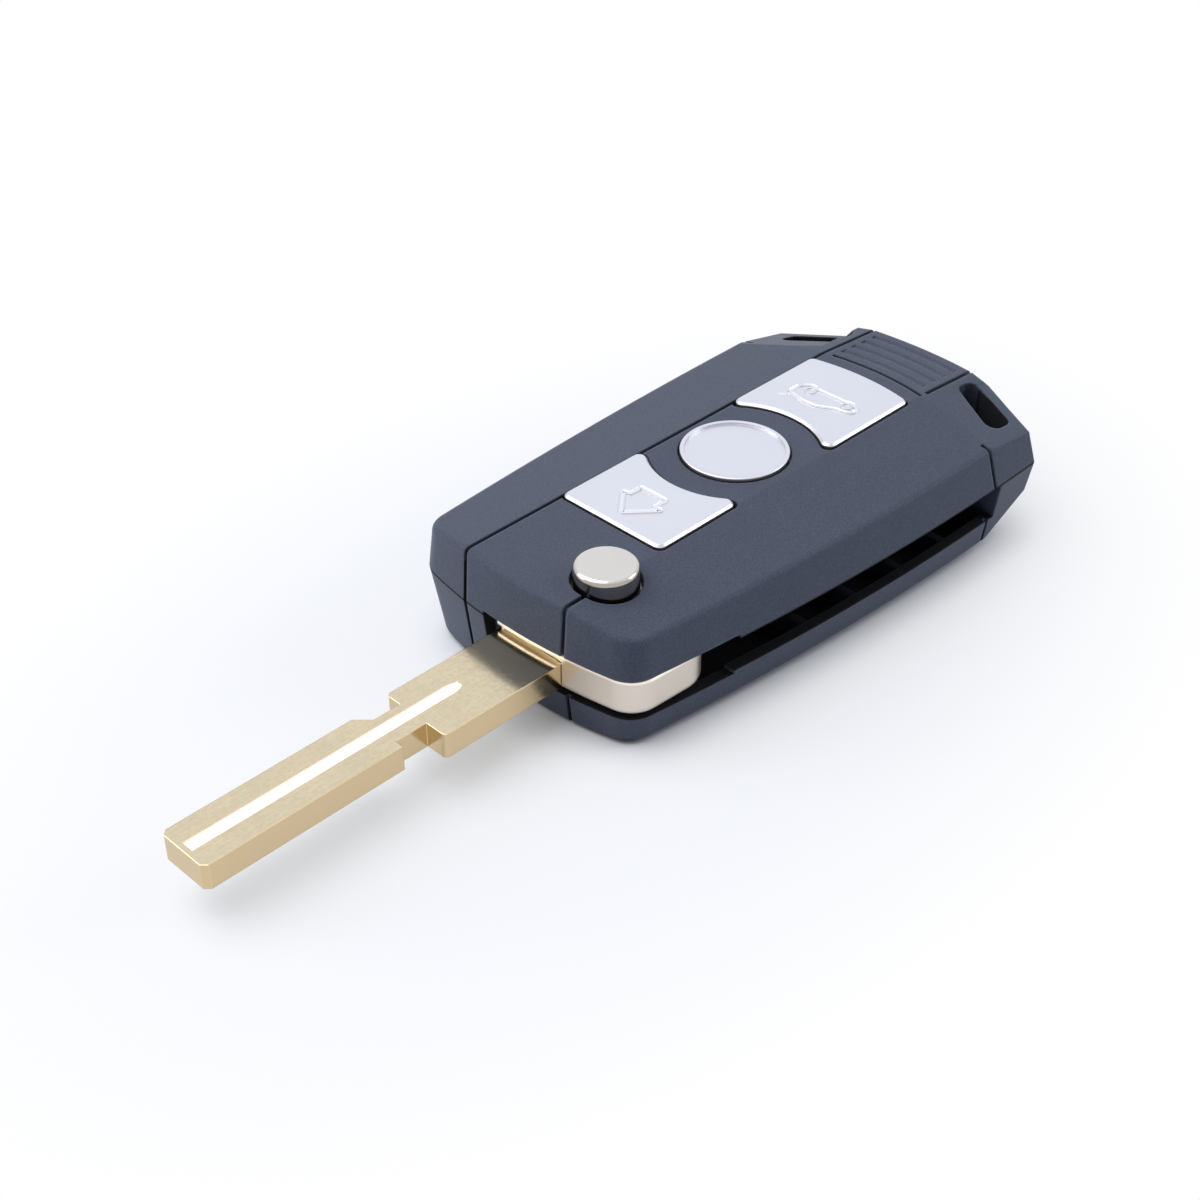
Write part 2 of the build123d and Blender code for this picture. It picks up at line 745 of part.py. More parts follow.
# Rubber pad with one dome under each cap
with BuildPart() as button_pad:
    with BuildSketch(Plane.XY.offset(frame_top)):
        with Locations((lock_front_x - button_flange, 0)):
            Rectangle(
                boot_rear_x + boot_button_bow - lock_front_x + 2 * button_flange,
                2 * pad_half_width,
                align=(Align.MIN, Align.CENTER),
            )
        fillet(vertices(), pad_corner_radius)
    extrude(amount=pad_thickness)
    with BuildSketch(Plane.XY.offset(pad_top)):
        with Locations(*dome_spots):
            Circle(dome_radius)
    extrude(amount=dome_rise, taper=30)
    with BuildSketch(Plane.XY.offset(frame_top)):
        with Locations(*dome_spots):
            Circle(dome_radius - dome_rise)
    extrude(amount=dome_hollow, mode=Mode.SUBTRACT)
button_pad.part.label = "button_pad"
export_step(button_pad.part, "parts/button_pad.step")

# Tray that carries the pad, with a rim that hangs down round it
with BuildPart() as board_frame:
    with BuildSketch(Plane.XY.offset(frame_bottom)):
        with Locations((frame_front_x, -frame_right)):
            Rectangle(frame_end_x - frame_front_x, frame_left + frame_right, align=(Align.MIN, Align.MIN))
        fillet(vertices(), frame_rim)
    extrude(amount=frame_thickness)
    with BuildSketch(Plane.XY.offset(frame_bottom)):
        with Locations((frame_front_x, frame_left)):
            Rectangle(frame_end_x - frame_front_x, frame_rim, align=(Align.MIN, Align.MAX))
        with Locations((frame_front_x, frame_left)):
            Rectangle(frame_rim, frame_left - bay_inner_y - fit_gap, align=(Align.MIN, Align.MAX))
        with Locations((frame_end_x, frame_left)):
            Rectangle(frame_rim, frame_left - bay_inner_y - fit_gap, align=(Align.MAX, Align.MAX))
        fillet(vertices().group_by(Axis.Y)[-1], frame_rim / 2)
    extrude(amount=-frame_rim_depth)
    with BuildSketch(Plane.XY.offset(frame_bottom)):
        with Locations(*dome_spots):
            Circle(frame_window_radius)
    extrude(amount=frame_thickness, mode=Mode.SUBTRACT)
    with BuildSketch(Plane.XY.offset(frame_bottom)):
        with Locations(*frame_screw_spots):
            Circle(inner_screw_head_radius + fit_gap)
    extrude(amount=inner_screw_head, mode=Mode.SUBTRACT)
    with BuildSketch(Plane.XY.offset(frame_bottom)):
        with Locations(*frame_screw_spots):
            Circle(inner_screw_radius + thread_gap)
    extrude(amount=frame_thickness, mode=Mode.SUBTRACT)
board_frame.part.label = "board_frame"
export_step(board_frame.part, "parts/board_frame.step")

# Plate over the folded blade, shaped to the side wall
with BuildPart() as blade_guard:
    add(case_form(wall + guard_side_gap))
    with BuildSketch(Plane.XY.offset(guard_bottom)):
        with Locations((guard_front_x, bay_inner_y)):
            Rectangle(frame_end_x - guard_front_x, far, align=(Align.MIN, Align.MAX))
    extrude(amount=guard_thickness, mode=Mode.INTERSECT)
    with BuildSketch(Plane.XY.offset(guard_bottom)):
        with Locations(*guard_screw_spots):
            Circle(inner_screw_head_radius + fit_gap)
    extrude(amount=inner_screw_head, mode=Mode.SUBTRACT)
    with BuildSketch(Plane.XY.offset(guard_bottom)):
        with Locations(*guard_screw_spots):
            Circle(inner_screw_radius + thread_gap)
    extrude(amount=guard_thickness, mode=Mode.SUBTRACT)
blade_guard.part.label = "blade_guard"
export_step(blade_guard.part, "parts/blade_guard.step")

# Small screws from below: three through the guard, two through the tray
with BuildPart() as inner_screws:
    with BuildSketch(Plane.XY.offset(guard_bottom)):
        with Locations(*guard_screw_spots):
            Circle(inner_screw_head_radius)
    extrude(amount=inner_screw_head)
    with BuildSketch(Plane.XY.offset(guard_bottom)):
        with Locations(*guard_screw_spots):
            Circle(inner_screw_radius)
    extrude(amount=inner_screw_length)
    with BuildSketch(Plane.XY.offset(frame_bottom)):
        with Locations(*frame_screw_spots):
            Circle(inner_screw_head_radius)
    extrude(amount=inner_screw_head)
    with BuildSketch(Plane.XY.offset(frame_bottom)):
        with Locations(*frame_screw_spots):
            Circle(inner_screw_radius)
    extrude(amount=inner_screw_length)
inner_screws.part.label = "inner_screws"
export_step(inner_screws.part, "parts/inner_screws.step")

# Screws that close the case from below
with BuildPart() as case_screws:
    with BuildSketch(Plane.XY.offset(case_screw_sink)):
        with Locations(*case_screw_spots):
            Circle(case_screw_head_radius)
    extrude(amount=case_screw_head)
    with BuildSketch(Plane.XY.offset(case_screw_sink)):
        with Locations(*case_screw_spots):
            Circle(case_screw_radius)
    extrude(amount=case_screw_head + case_screw_length)
case_screws.part.label = "case_screws"
export_step(case_screws.part, "parts/case_screws.step")

# Ring under the flip hole that stops the button's lugs, with a notch for each lug
with BuildPart() as index_ring:
    with BuildSketch(Plane.XY.offset(ceiling - index_ring_thickness)):
        with Locations(pivot):
            Circle(boss_bore - thread_gap)
            Circle(flip_hole_radius, mode=Mode.SUBTRACT)
    extrude(amount=index_ring_thickness)
    with BuildSketch(Plane.XY.offset(ceiling - index_ring_thickness)):
        with Locations(pivot):
            Rectangle(2 * (lug_radius + notch_gap), lug_width + notch_gap)
    extrude(amount=index_ring_thickness / 2, mode=Mode.SUBTRACT)
index_ring.part.label = "index_ring"
export_step(index_ring.part, "parts/index_ring.step")

# Flip button: a hollow cap with two lugs that slide in the hub
with BuildPart() as flip_button:
    with BuildSketch(Plane.XY.offset(case_height - skirt_length)):
        with Locations(pivot):
            Circle(flip_button_radius)
    extrude(amount=skirt_length + flip_button_proud)
    fillet(faces().sort_by(Axis.Z)[-1].edges(), flip_button_edge)
    with BuildSketch(Plane.XY.offset(lug_top - lug_length)):
        with Locations(pivot):
            Rectangle(2 * lug_radius, lug_width)
            Circle(lug_radius, mode=Mode.INTERSECT)
    extrude(amount=lug_length)
    with BuildSketch(Plane.XY.offset(case_height - skirt_length)):
        with Locations(pivot):
            Circle(flip_button_radius - flip_button_wall)
    extrude(amount=button_crown - case_height + skirt_length, mode=Mode.SUBTRACT)
flip_button.part.label = "flip_button"
export_step(flip_button.part, "parts/flip_button.step")

# Coil spring between the seat and the button's crown
with BuildPart() as flip_spring:
    with BuildLine() as coil:
        Helix(
            (button_crown - seat_top - spring_wire - 2 * wire_gap) / spring_turns,
            button_crown - seat_top - spring_wire - 2 * wire_gap,
            spring_mean_radius,
            center=(pivot_x, pivot_y, seat_top + spring_wire / 2 + wire_gap),
        )
    with BuildSketch(Plane(origin=coil.line @ 0, z_dir=coil.line % 0)):
        RegularPolygon(spring_wire / 2, 6)
    sweep(path=coil.line, is_frenet=True)
flip_spring.part.label = "flip_spring"
export_step(flip_spring.part, "parts/flip_spring.step")

# Seat that the spring stands on, with a post up its middle
with BuildPart() as spring_seat:
    with BuildSketch(Plane.XY.offset(wall)):
        with Locations(pivot):
            Circle(seat_radius)
    extrude(amount=seat_thickness)
    with BuildSketch(Plane.XY.offset(seat_top)):
        with Locations(pivot):
            Circle(seat_post_radius)
    extrude(amount=seat_post_height)
    chamfer(faces().sort_by(Axis.Z)[-1].edges(), seat_post_radius / 4)
    with BuildSketch(Plane.XY.offset(wall)):
        with Locations(pivot):
            Circle(inner_screw_radius + thread_gap)
    extrude(amount=under_sink + pivot_screw_head + pivot_screw_length + fit_gap - wall, mode=Mode.SUBTRACT)
spring_seat.part.label = "spring_seat"
export_step(spring_seat.part, "parts/spring_seat.step")

# Screw under the case that holds the seat
with BuildPart() as pivot_screw:
    with BuildSketch(Plane.XY.offset(under_sink)):
        with Locations(pivot):
            Circle(inner_screw_head_radius)
    extrude(amount=pivot_screw_head)
    with BuildSketch(Plane.XY.offset(under_sink)):
        with Locations(pivot):
            Circle(inner_screw_radius)
    extrude(amount=pivot_screw_head + pivot_screw_length)
pivot_screw.part.label = "pivot_screw"
export_step(pivot_screw.part, "parts/pivot_screw.step")

# Thin bearing washer under the head
with BuildPart() as head_washer:
    with BuildSketch(Plane.XY.offset(bearing_top)):
        with Locations(pivot):
            Circle(bearing_bore + bearing_wall - thread_gap)
            Circle(bearing_bore, mode=Mode.SUBTRACT)
    extrude(amount=washer_thickness)
head_washer.part.label = "head_washer"
export_step(head_washer.part, "parts/head_washer.step")

# Head that the blade stands in: it turns in the upper case on its hub and in the lower
# case on its spigot
with BuildPart() as blade_head:
    with BuildSketch(Plane.XY.offset(head_bottom)):
        with Locations((nose_x, head_left_y)):
            Rectangle(head_rear_x - nose_x, head_reach_left + head_reach_right, align=(Align.MIN, Align.MAX))
        with BuildLine():
            Polyline(
                (nose_x, head_front_right_y),
                (head_rear_x, head_front_right_y),
                (head_rear_x, head_rear_right_y),
                close=True,
            )
        make_face()
        with Locations((nose_x + head_inset + nose_arc_radius, 0)):
            Circle(nose_arc_radius, mode=Mode.INTERSECT)
        left_front = vertices().filter_by(lambda v: v.X < pivot_x and v.Y > pivot_y)
        fillet([v for v in vertices() if v not in left_front], head_corner_radius)
    extrude(amount=head_top - head_bottom)
    rear_under = edges().filter_by(lambda e: e.center().Z < head_bottom + 0.01 and e.center().X > pivot_x)
    fillet(rear_under, head_edge_radius)
    chamfer(faces().sort_by(Axis.Z)[-1].edges(), head_bevel)
    with BuildSketch(Plane.XY.offset(head_top)):
        with Locations(pivot):
            Circle(hub_radius)
    extrude(amount=hub_top - head_top)
    with BuildSketch(Plane.XY.offset(head_bottom)):
        with Locations(pivot):
            Circle(spigot_radius)
    extrude(amount=spigot_bottom - head_bottom)
    with BuildSketch(Plane.XY.offset(hub_floor)):
        with Locations(pivot):
            Circle(hub_bore)
    extrude(amount=case_height, mode=Mode.SUBTRACT)
    with BuildSketch(Plane.XY.offset(spigot_bottom)):
        with Locations(pivot):
            Circle(chamber_radius)
    extrude(amount=case_height, mode=Mode.SUBTRACT)
    with BuildSketch(Plane.XY.offset(spigot_bottom)):
        with Locations(pivot):
            Circle(spigot_radius - spigot_wall)
    extrude(amount=head_bottom - spigot_bottom, mode=Mode.SUBTRACT)
    with BuildSketch(Plane.XY.offset(lug_top - lug_length - flip_travel - notch_gap)):
        with Locations(pivot):
            Rectangle(2 * (lug_radius + running_clearance), lug_width + notch_gap)
    extrude(amount=case_height, mode=Mode.SUBTRACT)
    with BuildSketch(Plane.XY.offset(blade_bottom - tang_gap)):
        with Locations((tang_x, tang_left + tang_gap)):
            Rectangle(far, tang_left - tang_right + 2 * tang_gap, align=(Align.MAX, Align.MAX))
        with Locations((ear_x + tang_gap, tang_left + tang_gap)):
            Rectangle(far, tang_ear_width + 2 * tang_gap, align=(Align.MAX, Align.MAX))
    extrude(amount=blade_thickness + 2 * tang_gap, mode=Mode.SUBTRACT)
    with BuildSketch(Plane.XY.offset(blade_bottom - tang_gap)):
        with Locations((shoulder_x + tang_gap, head_left_y)):
            Rectangle(far, head_left_y - blade_root_right + tang_gap, align=(Align.MAX, Align.MAX))
    extrude(amount=blade_thickness + 2 * tang_gap + socket_slit, mode=Mode.SUBTRACT)
    with BuildSketch(Plane.XY.offset(head_bottom)):
        with Locations(pin_spot):
            Circle(blade_pin_radius + thread_gap)
    extrude(amount=head_top - head_bottom - wall / 2, mode=Mode.SUBTRACT)
blade_head.part.label = "blade_head"
export_step(blade_head.part, "parts/blade_head.step")

# Key blade: wide root, notched neck, long uncut blank with a milled track on each face
with BuildPart() as key_blade:
    with BuildSketch(Plane.XY.offset(blade_bottom)):
        with BuildLine():
            Polyline(
                (shoulder_x, blade_root_left),
                (neck_x, blade_root_left),
                (neck_x, blade_left - neck_depth_left),
                (neck_end_x, blade_left - neck_depth_left),
                (neck_end_x - neck_slant, blade_left),
                (tip_x + tip_chamfer, blade_left),
                (tip_x, blade_left - tip_chamfer),
                (tip_x, blade_right + tip_chamfer),
                (tip_x + tip_chamfer, blade_right),
                (neck_end_x - tip_chamfer, blade_right),
                (neck_end_x - tip_chamfer, blade_right + neck_depth_right),
                (neck_x - running_clearance, blade_right + neck_depth_right),
                (neck_x - running_clearance, blade_root_right),
                (shoulder_x, blade_root_right),
                close=True,
            )
        make_face()
        root_corners = vertices().filter_by(lambda v: abs(v.X - neck_x) < 2 * running_clearance)
        fillet([v for v in root_corners if v.Y > blade_left or v.Y < blade_right], tip_chamfer)
        with Locations((shoulder_x, tang_left)):
            Rectangle(tang_x - tang_gap - shoulder_x, tang_left - tang_right, align=(Align.MIN, Align.MAX))
            Rectangle(ear_x - shoulder_x, tang_ear_width, align=(Align.MIN, Align.MAX))
        with Locations(pin_spot):
            Circle(blade_pin_radius + thread_gap, mode=Mode.SUBTRACT)
    extrude(amount=blade_thickness)
    with BuildSketch(Plane.YZ.offset(track_end_x)) as track_section:
        with BuildLine():
            Polyline(
                (track_y - track_width / 2, blade_top + track_depth),
                (track_y - track_width / 2, blade_top - track_depth / 2),
                (track_y - track_width / 4, blade_top - track_depth),
                (track_y + track_width / 4, blade_top - track_depth),
                (track_y + track_width / 2, blade_top - track_depth / 2),
                (track_y + track_width / 2, blade_top + track_depth),
                close=True,
            )
        make_face()
    extrude(amount=tip_x + track_tip_margin - track_end_x, mode=Mode.SUBTRACT)
    add(track_section.sketch)
    revolve(
        axis=Axis((track_end_x, 0, blade_top - track_depth + track_cutter_radius), (0, 1, 0)),
        mode=Mode.SUBTRACT,
    )
    with BuildSketch(Plane.YZ.offset(track_end_x)) as under_track:
        with BuildLine():
            Polyline(
                (track_y - track_width / 2, blade_bottom - track_depth),
                (track_y - track_width / 2, blade_bottom + track_depth / 2),
                (track_y - track_width / 4, blade_bottom + track_depth),
                (track_y + track_width / 4, blade_bottom + track_depth),
                (track_y + track_width / 2, blade_bottom + track_depth / 2),
                (track_y + track_width / 2, blade_bottom - track_depth),
                close=True,
            )
        make_face()
    extrude(amount=tip_x + track_tip_margin - track_end_x, mode=Mode.SUBTRACT)
    add(under_track.sketch)
    revolve(
        axis=Axis((track_end_x, 0, blade_bottom + track_depth - track_cutter_radius), (0, 1, 0)),
        mode=Mode.SUBTRACT,
    )
key_blade.part.label = "key_blade"
export_step(key_blade.part, "parts/key_blade.step")

# Pin through the blade's tang
with BuildPart() as blade_pin:
    with BuildSketch(Plane.XY.offset(head_bottom + running_clearance)):
        with Locations(pin_spot):
            Circle(blade_pin_radius)
    extrude(amount=head_top - head_bottom - wall / 2 - 2 * running_clearance)
blade_pin.part.label = "blade_pin"
export_step(blade_pin.part, "parts/blade_pin.step")

# Open tray for the chip on the lower floor
with BuildPart() as chip_holder:
    with BuildSketch(Plane.XY.offset(wall)):
        with Locations((nose_x + chip_from_nose, chip_side)):
            Rectangle(chip_length, chip_width, align=(Align.MIN, Align.MIN))
    extrude(amount=chip_height)
    with BuildSketch(Plane.XY.offset(wall + chip_wall)):
        with Locations((nose_x + chip_from_nose + chip_wall, chip_side + chip_wall)):
            Rectangle(chip_length - 2 * chip_wall, chip_width - 2 * chip_wall, align=(Align.MIN, Align.MIN))
    extrude(amount=chip_height, mode=Mode.SUBTRACT)
chip_holder.part.label = "chip_holder"
export_step(chip_holder.part, "parts/chip_holder.step")
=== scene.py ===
import math

import bmesh
import bpy
from bpy.props import FloatProperty, FloatVectorProperty, IntProperty, PointerProperty
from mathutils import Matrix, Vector


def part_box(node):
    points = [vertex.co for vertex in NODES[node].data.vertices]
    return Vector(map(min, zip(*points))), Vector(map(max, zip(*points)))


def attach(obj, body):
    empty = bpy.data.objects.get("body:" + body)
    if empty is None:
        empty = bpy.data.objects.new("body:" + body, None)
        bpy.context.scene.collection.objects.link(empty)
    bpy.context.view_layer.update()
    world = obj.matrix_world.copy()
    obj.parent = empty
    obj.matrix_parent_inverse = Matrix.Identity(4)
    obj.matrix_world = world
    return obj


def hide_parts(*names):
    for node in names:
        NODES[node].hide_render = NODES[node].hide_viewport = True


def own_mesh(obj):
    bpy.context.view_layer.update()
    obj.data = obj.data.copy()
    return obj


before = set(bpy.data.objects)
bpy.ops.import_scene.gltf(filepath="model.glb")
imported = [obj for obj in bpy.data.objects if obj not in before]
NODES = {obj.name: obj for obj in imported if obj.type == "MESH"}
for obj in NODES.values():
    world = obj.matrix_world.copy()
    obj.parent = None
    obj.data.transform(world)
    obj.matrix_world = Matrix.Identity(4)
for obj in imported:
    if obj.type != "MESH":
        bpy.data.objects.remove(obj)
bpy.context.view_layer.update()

bl_info = {
    "name": "Flip Key Shell Dresser",
    "version": (1, 0, 0),
    "blender": (4, 5, 0),
    "location": "View3D > Sidebar > Flip Key",
    "description": "Finishes a folding key shell: soft-touch case, satin buttons, nickel head and brass blade",
    "category": "Object",
}

MM = 0.001

# Top of the caps, on which the signs stand
CAP_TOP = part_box("lock_button")[1][2]

# Case: faces that look towards its long middle line and lie below HIDDEN_TOP are its hidden sides, which get
# painted shade, and its halves meet at PARTING_HEIGHT, where a dark line is painted
CASE_MIDDLE = 6.8 * MM
HIDDEN_TOP = CAP_TOP - 2.0 * MM
HIDDEN_TURN = 0.2 * MM
PARTING_HEIGHT = (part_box("upper_case")[0][2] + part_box("lower_case")[1][2]) / 2
PARTING_HALF = 0.19 * MM

# Blade: its milled track, and the rim of the head that holds it, under which a highlight is painted, as depths
# under the head's top
BLADE_LOW, BLADE_HIGH = (Vector(corner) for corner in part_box("key_blade"))
BLADE_MIDDLE = (BLADE_LOW.z + BLADE_HIGH.z) / 2
TRACK_MIDDLE = BLADE_HIGH.y - 3.775 * MM
TRACK_HALF = 0.78 * MM
TRACK_SINK = 0.04 * MM
HEAD_TOP = BLADE_HIGH.z + 1.15 * MM
RIM_HIGHLIGHT_START, RIM_HIGHLIGHT_FULL = 0.50 * MM, 0.36 * MM

# Depth of the fine relief, and how far a closed place looks for other faces when shade is painted into it
RELIEF_DEPTH = 0.02 * MM
CASE_REACH, FLOOR_REACH = 6.0 * MM, 6.2 * MM

# Between these two lie most values of a noise
NOISE_LOW, NOISE_HIGH = 0.3, 0.7

# A tone is what a colour is multiplied by in red, green and blue. The steep, side and edge tones colour
# painted shade and painted highlights
SHEEN_TONE = (0.80, 0.87, 1.0)
STEEP_SHADE_TONE = (1.0, 0.93, 0.86)
AGED_TONE = (0.80, 0.72, 0.60)
SIDE_SHADE_TONE = (0.94, 0.83, 0.68)
EDGE_HIGHLIGHT_TONE = (1.25, 1.10, 0.80)
MILLED_COLOUR = (0.97, 0.945, 0.90)

# Sockets of a Mix node that is set to colours
COLOUR_A, COLOUR_B, COLOUR_RESULT = 6, 7, 2

# Kinds of node tree and socket
SHADER, GEOMETRY = "ShaderNodeTree", "GeometryNodeTree"
VALUE, VECTOR = "NodeSocketFloat", "NodeSocketVector"
SHAPE, COAT = "NodeSocketGeometry", "NodeSocketMaterial"


# Sizes and colours that a user would change
class ShellFinish(bpy.types.PropertyGroup):
    """Colours and grain of the moulded case and of what is inside it"""

    case_colour: FloatVectorProperty(
        name="Case colour",
        description="Base colour of the soft-touch plastic",
        subtype="COLOR",
        size=3,
        min=0.0,
        max=1.0,
        default=(0.070, 0.082, 0.120),
    )
    case_roughness: FloatProperty(
        name="Case roughness",
        description="Roughness of the soft-touch plastic",
        subtype="FACTOR",
        min=0.0,
        max=1.0,
        default=0.50,
    )
    grain_size: FloatProperty(
        name="Grain size",
        description="Distance between the grains of the moulded texture",
        unit="LENGTH",
        min=0.00002,
        default=0.00022,
    )
    # Also the colour of the shade painted into the case's depths and inner sides
    inner_and_shade_colour: FloatVectorProperty(
        name="Inner colour",
        description="Base colour of the hidden mouldings",
        subtype="COLOR",
        size=3,
        min=0.0,
        max=1.0,
        default=(0.012, 0.012, 0.014),
    )
    rubber_colour: FloatVectorProperty(
        name="Pad colour",
        description="Base colour of the rubber pad under the buttons",
        subtype="COLOR",
        size=3,
        min=0.0,
        max=1.0,
        default=(0.045, 0.045, 0.048),
    )


class MetalFinish(bpy.types.PropertyGroup):
    """Colours of the metal and metal-look surfaces"""

    button_colour: FloatVectorProperty(
        name="Button colour",
        description="Colour of the satin button caps",
        subtype="COLOR",
        size=3,
        min=0.0,
        max=1.0,
        default=(0.72, 0.745, 0.84),
    )
    nickel_colour: FloatVectorProperty(
        name="Nickel colour",
        description="Colour of the plated head of the blade",
        subtype="COLOR",
        size=3,
        min=0.0,
        max=1.0,
        default=(0.70, 0.63, 0.555),
    )
    flip_button_colour: FloatVectorProperty(
        name="Flip button colour",
        description="Colour of the bright plating on the flip button",
        subtype="COLOR",
        size=3,
        min=0.0,
        max=1.0,
        default=(0.70, 0.685, 0.675),
    )
    brass_colour: FloatVectorProperty(
        name="Brass colour",
        description="Colour of the uncut blade",
        subtype="COLOR",
        size=3,
        min=0.0,
        max=1.0,
        default=(0.71, 0.625, 0.46),
    )
    steel_colour: FloatVectorProperty(
        name="Steel colour",
        description="Colour of the screws, spring and washers",
        subtype="COLOR",
        size=3,
        min=0.0,
        max=1.0,
        default=(0.48, 0.48, 0.49),
    )


class SignSizes(bpy.types.PropertyGroup):
    """Sizes of the raised outline signs on the buttons"""

    line_width: FloatProperty(
        name="Line width",
        description="Width of a raised line with its two ridges",
        unit="LENGTH",
        min=0.00005,
        default=0.00080,
    )
    line_height: FloatProperty(
        name="Line height",
        description="How far a line stands above its cap",
        unit="LENGTH",
        min=0.00001,
        default=0.00010,
    )


class ScrewSizes(bpy.types.PropertyGroup):
    """Details of the screws that the solids leave plain"""

    thread_turns_per_mm: FloatProperty(
        name="Thread turns",
        description="Turns of thread for each millimetre of shank",
        min=0.5,
        default=1.6,
    )
    recess_share: FloatProperty(
        name="Recess share",
        description="Length of the cross recess as a share of the head's width",
        subtype="FACTOR",
        min=0.2,
        max=0.9,
        default=0.62,
    )
    head_sides: IntProperty(
        name="Head sides",
        description="Facets round a screw head",
        min=12,
        default=40,
    )


class SpringSizes(bpy.types.PropertyGroup):
    """Details of the coil spring under the flip button"""

    wire_radius: FloatProperty(
        name="Wire radius",
        description="Radius of the spring's wire",
        unit="LENGTH",
        min=0.0001,
        default=0.000275,
    )
    turns: FloatProperty(
        name="Turns",
        description="Number of turns from the seat to the button",
        min=1.0,
        default=7.0,
    )
    wire_sides: IntProperty(
        name="Wire sides",
        description="Facets round the wire",
        min=6,
        default=10,
    )
    travel: FloatProperty(
        name="Travel",
        description="How far the button presses the spring together",
        unit="LENGTH",
        min=0.0,
        default=0.0018,
    )


class StageSetup(bpy.types.PropertyGroup):
    """Light and camera of the product shot"""

    lens: FloatProperty(
        name="Lens",
        description="Focal length in millimetres on a 36 mm sensor",
        min=10.0,
        default=58.89,
    )
    azimuth: FloatProperty(
        name="Azimuth",
        description="Turn of the camera round the key",
        subtype="ANGLE",
        default=math.radians(-45.30),
    )
    elevation: FloatProperty(
        name="Elevation",
        description="Height angle of the camera",
        subtype="ANGLE",
        default=math.radians(36.456),
    )
    softbox_power: FloatProperty(
        name="Softbox power",
        description="Power of the large lamp above the key, in watts",
        min=0.0,
        default=1.35,
    )
    fill_power: FloatProperty(
        name="Fill power",
        description="Power of the lamp at the left of the key, in watts",
        min=0.0,
        default=0.55,
    )
    floor_glow: FloatProperty(
        name="Floor glow",
        description="How much of the pale floor shows as plain white beside the key's shadow",
        subtype="FACTOR",
        min=0.0,
        max=1.0,
        default=0.52,
    )
    sky_level: FloatProperty(
        name="Sky level",
        description="Strength of the pale surroundings",
        min=0.0,
        default=0.42,
    )


def settings(context, group):
    """The values of one of the scene's property groups."""
    return getattr(context.scene, group)


# Small helpers for node trees and meshes
def feed(tree, source, target):
    """Wires a socket into a target, or sets the target to a plain value."""
    if isinstance(source, bpy.types.NodeSocket):
        tree.links.new(source, target)
    elif target.type == "RGBA":
        target.default_value = [*source, 1.0]
    else:
        target.default_value = source


def place(tree, kind, **values):
    """A new node with its own settings."""
    node = tree.nodes.new(kind)
    for key, value in values.items():
        setattr(node, key, value)
    return node


def output_of(tree, kind, output, inputs, **values):
    """One output of a new node whose inputs, by name or number, are sockets or plain values."""
    node = place(tree, kind, **values)
    for key, source in inputs.items():
        feed(tree, source, node.inputs[key])
    return node.outputs[output]


def calculate(tree, operation, first, second=0.0, **values):
    """The result of one sum, product or comparison."""
    return output_of(tree, "ShaderNodeMath", "Value", {0: first, 1: second}, operation=operation, **values)


def calculate_vector(tree, operation, first, second=(0.0, 0.0, 0.0), output="Vector"):
    """The result of one operation on vectors."""
    return output_of(tree, "ShaderNodeVectorMath", output, {0: first, 1: second}, operation=operation)


def along(tree, vector, axis):
    """One coordinate of a vector."""
    return output_of(tree, "ShaderNodeSeparateXYZ", axis, {"Vector": vector})


def remapped(tree, value, from_low, from_high, to_low=0.0, to_high=1.0, **values):
    """A value carried from one range into another."""
    inputs = {"Value": value, "From Min": from_low, "From Max": from_high, "To Min": to_low, "To Max": to_high}
    return output_of(tree, "ShaderNodeMapRange", "Result", inputs, **values)


def noise(tree, vector, scale, detail=2.0, roughness=0.5):
    """A soft noise with a number of spots to the metre."""
    inputs = {"Vector": vector, "Scale": scale, "Detail": detail, "Roughness": roughness}
    return output_of(tree, "ShaderNodeTexNoise", "Fac", inputs)


def mix_colours(tree, factor, first, second):
    """Mixes two colours, each a socket or three values."""
    inputs = {"Factor": factor, COLOUR_A: first, COLOUR_B: second}
    return output_of(tree, "ShaderNodeMix", COLOUR_RESULT, inputs, data_type="RGBA")


def shaded(colour, share, tone=(1.0, 1.0, 1.0)):
    """A colour times a share and a tone, and never above 1."""
    return [min(1.0, c * share * k) for c, k in zip(colour, tone)]


def fresh_material(name):
    """A new material, its node tree and its Principled BSDF."""
    material = bpy.data.materials.new(name)
    material.use_nodes = True
    tree = material.node_tree
    surface = next(n for n in tree.nodes if n.type == "BSDF_PRINCIPLED")
    return material, tree, surface


def add_socket(tree, name, direction, start):
    """A socket of a tree. A number is its default, and a text is its kind."""
    kind = start if isinstance(start, str) else {float: VALUE, int: "NodeSocketInt"}[type(start)]
    socket = tree.interface.new_socket(name=name, in_out=direction, socket_type=kind)
    if not isinstance(start, str):
        socket.default_value = start


def node_tree(name, kind, inputs, outputs, fill):
    """The tree of that name. The first call makes it, and fill wires its inputs to its outputs."""
    tree = bpy.data.node_groups.get(name)
    if tree is None:
        tree = bpy.data.node_groups.new(name, kind)
        for key, start in inputs.items():
            add_socket(tree, key, "INPUT", start)
        for key, start in outputs.items():
            add_socket(tree, key, "OUTPUT", start)
        fill(tree, place(tree, "NodeGroupInput").outputs, place(tree, "NodeGroupOutput").inputs)
    return tree


def mesh_object(context, name, bm, material, smooth=True):
    """An object at the origin made from a bmesh, with its faces turned outwards."""
    bmesh.ops.recalc_face_normals(bm, faces=bm.faces)
    mesh = bpy.data.meshes.new(name)
    bm.to_mesh(mesh)
    bm.free()
    for polygon in mesh.polygons:
        polygon.use_smooth = smooth
    mesh.materials.append(material)
    piece = bpy.data.objects.new(name, mesh)
    context.scene.collection.objects.link(piece)
    return piece


def paint(node_name, material):
    """Gives one of the frame's solids its material."""
    slots = NODES[node_name].material_slots
    if not slots:
        raise RuntimeError("the solid " + node_name + " has no material slot")
    for one in slots:
        one.material = material


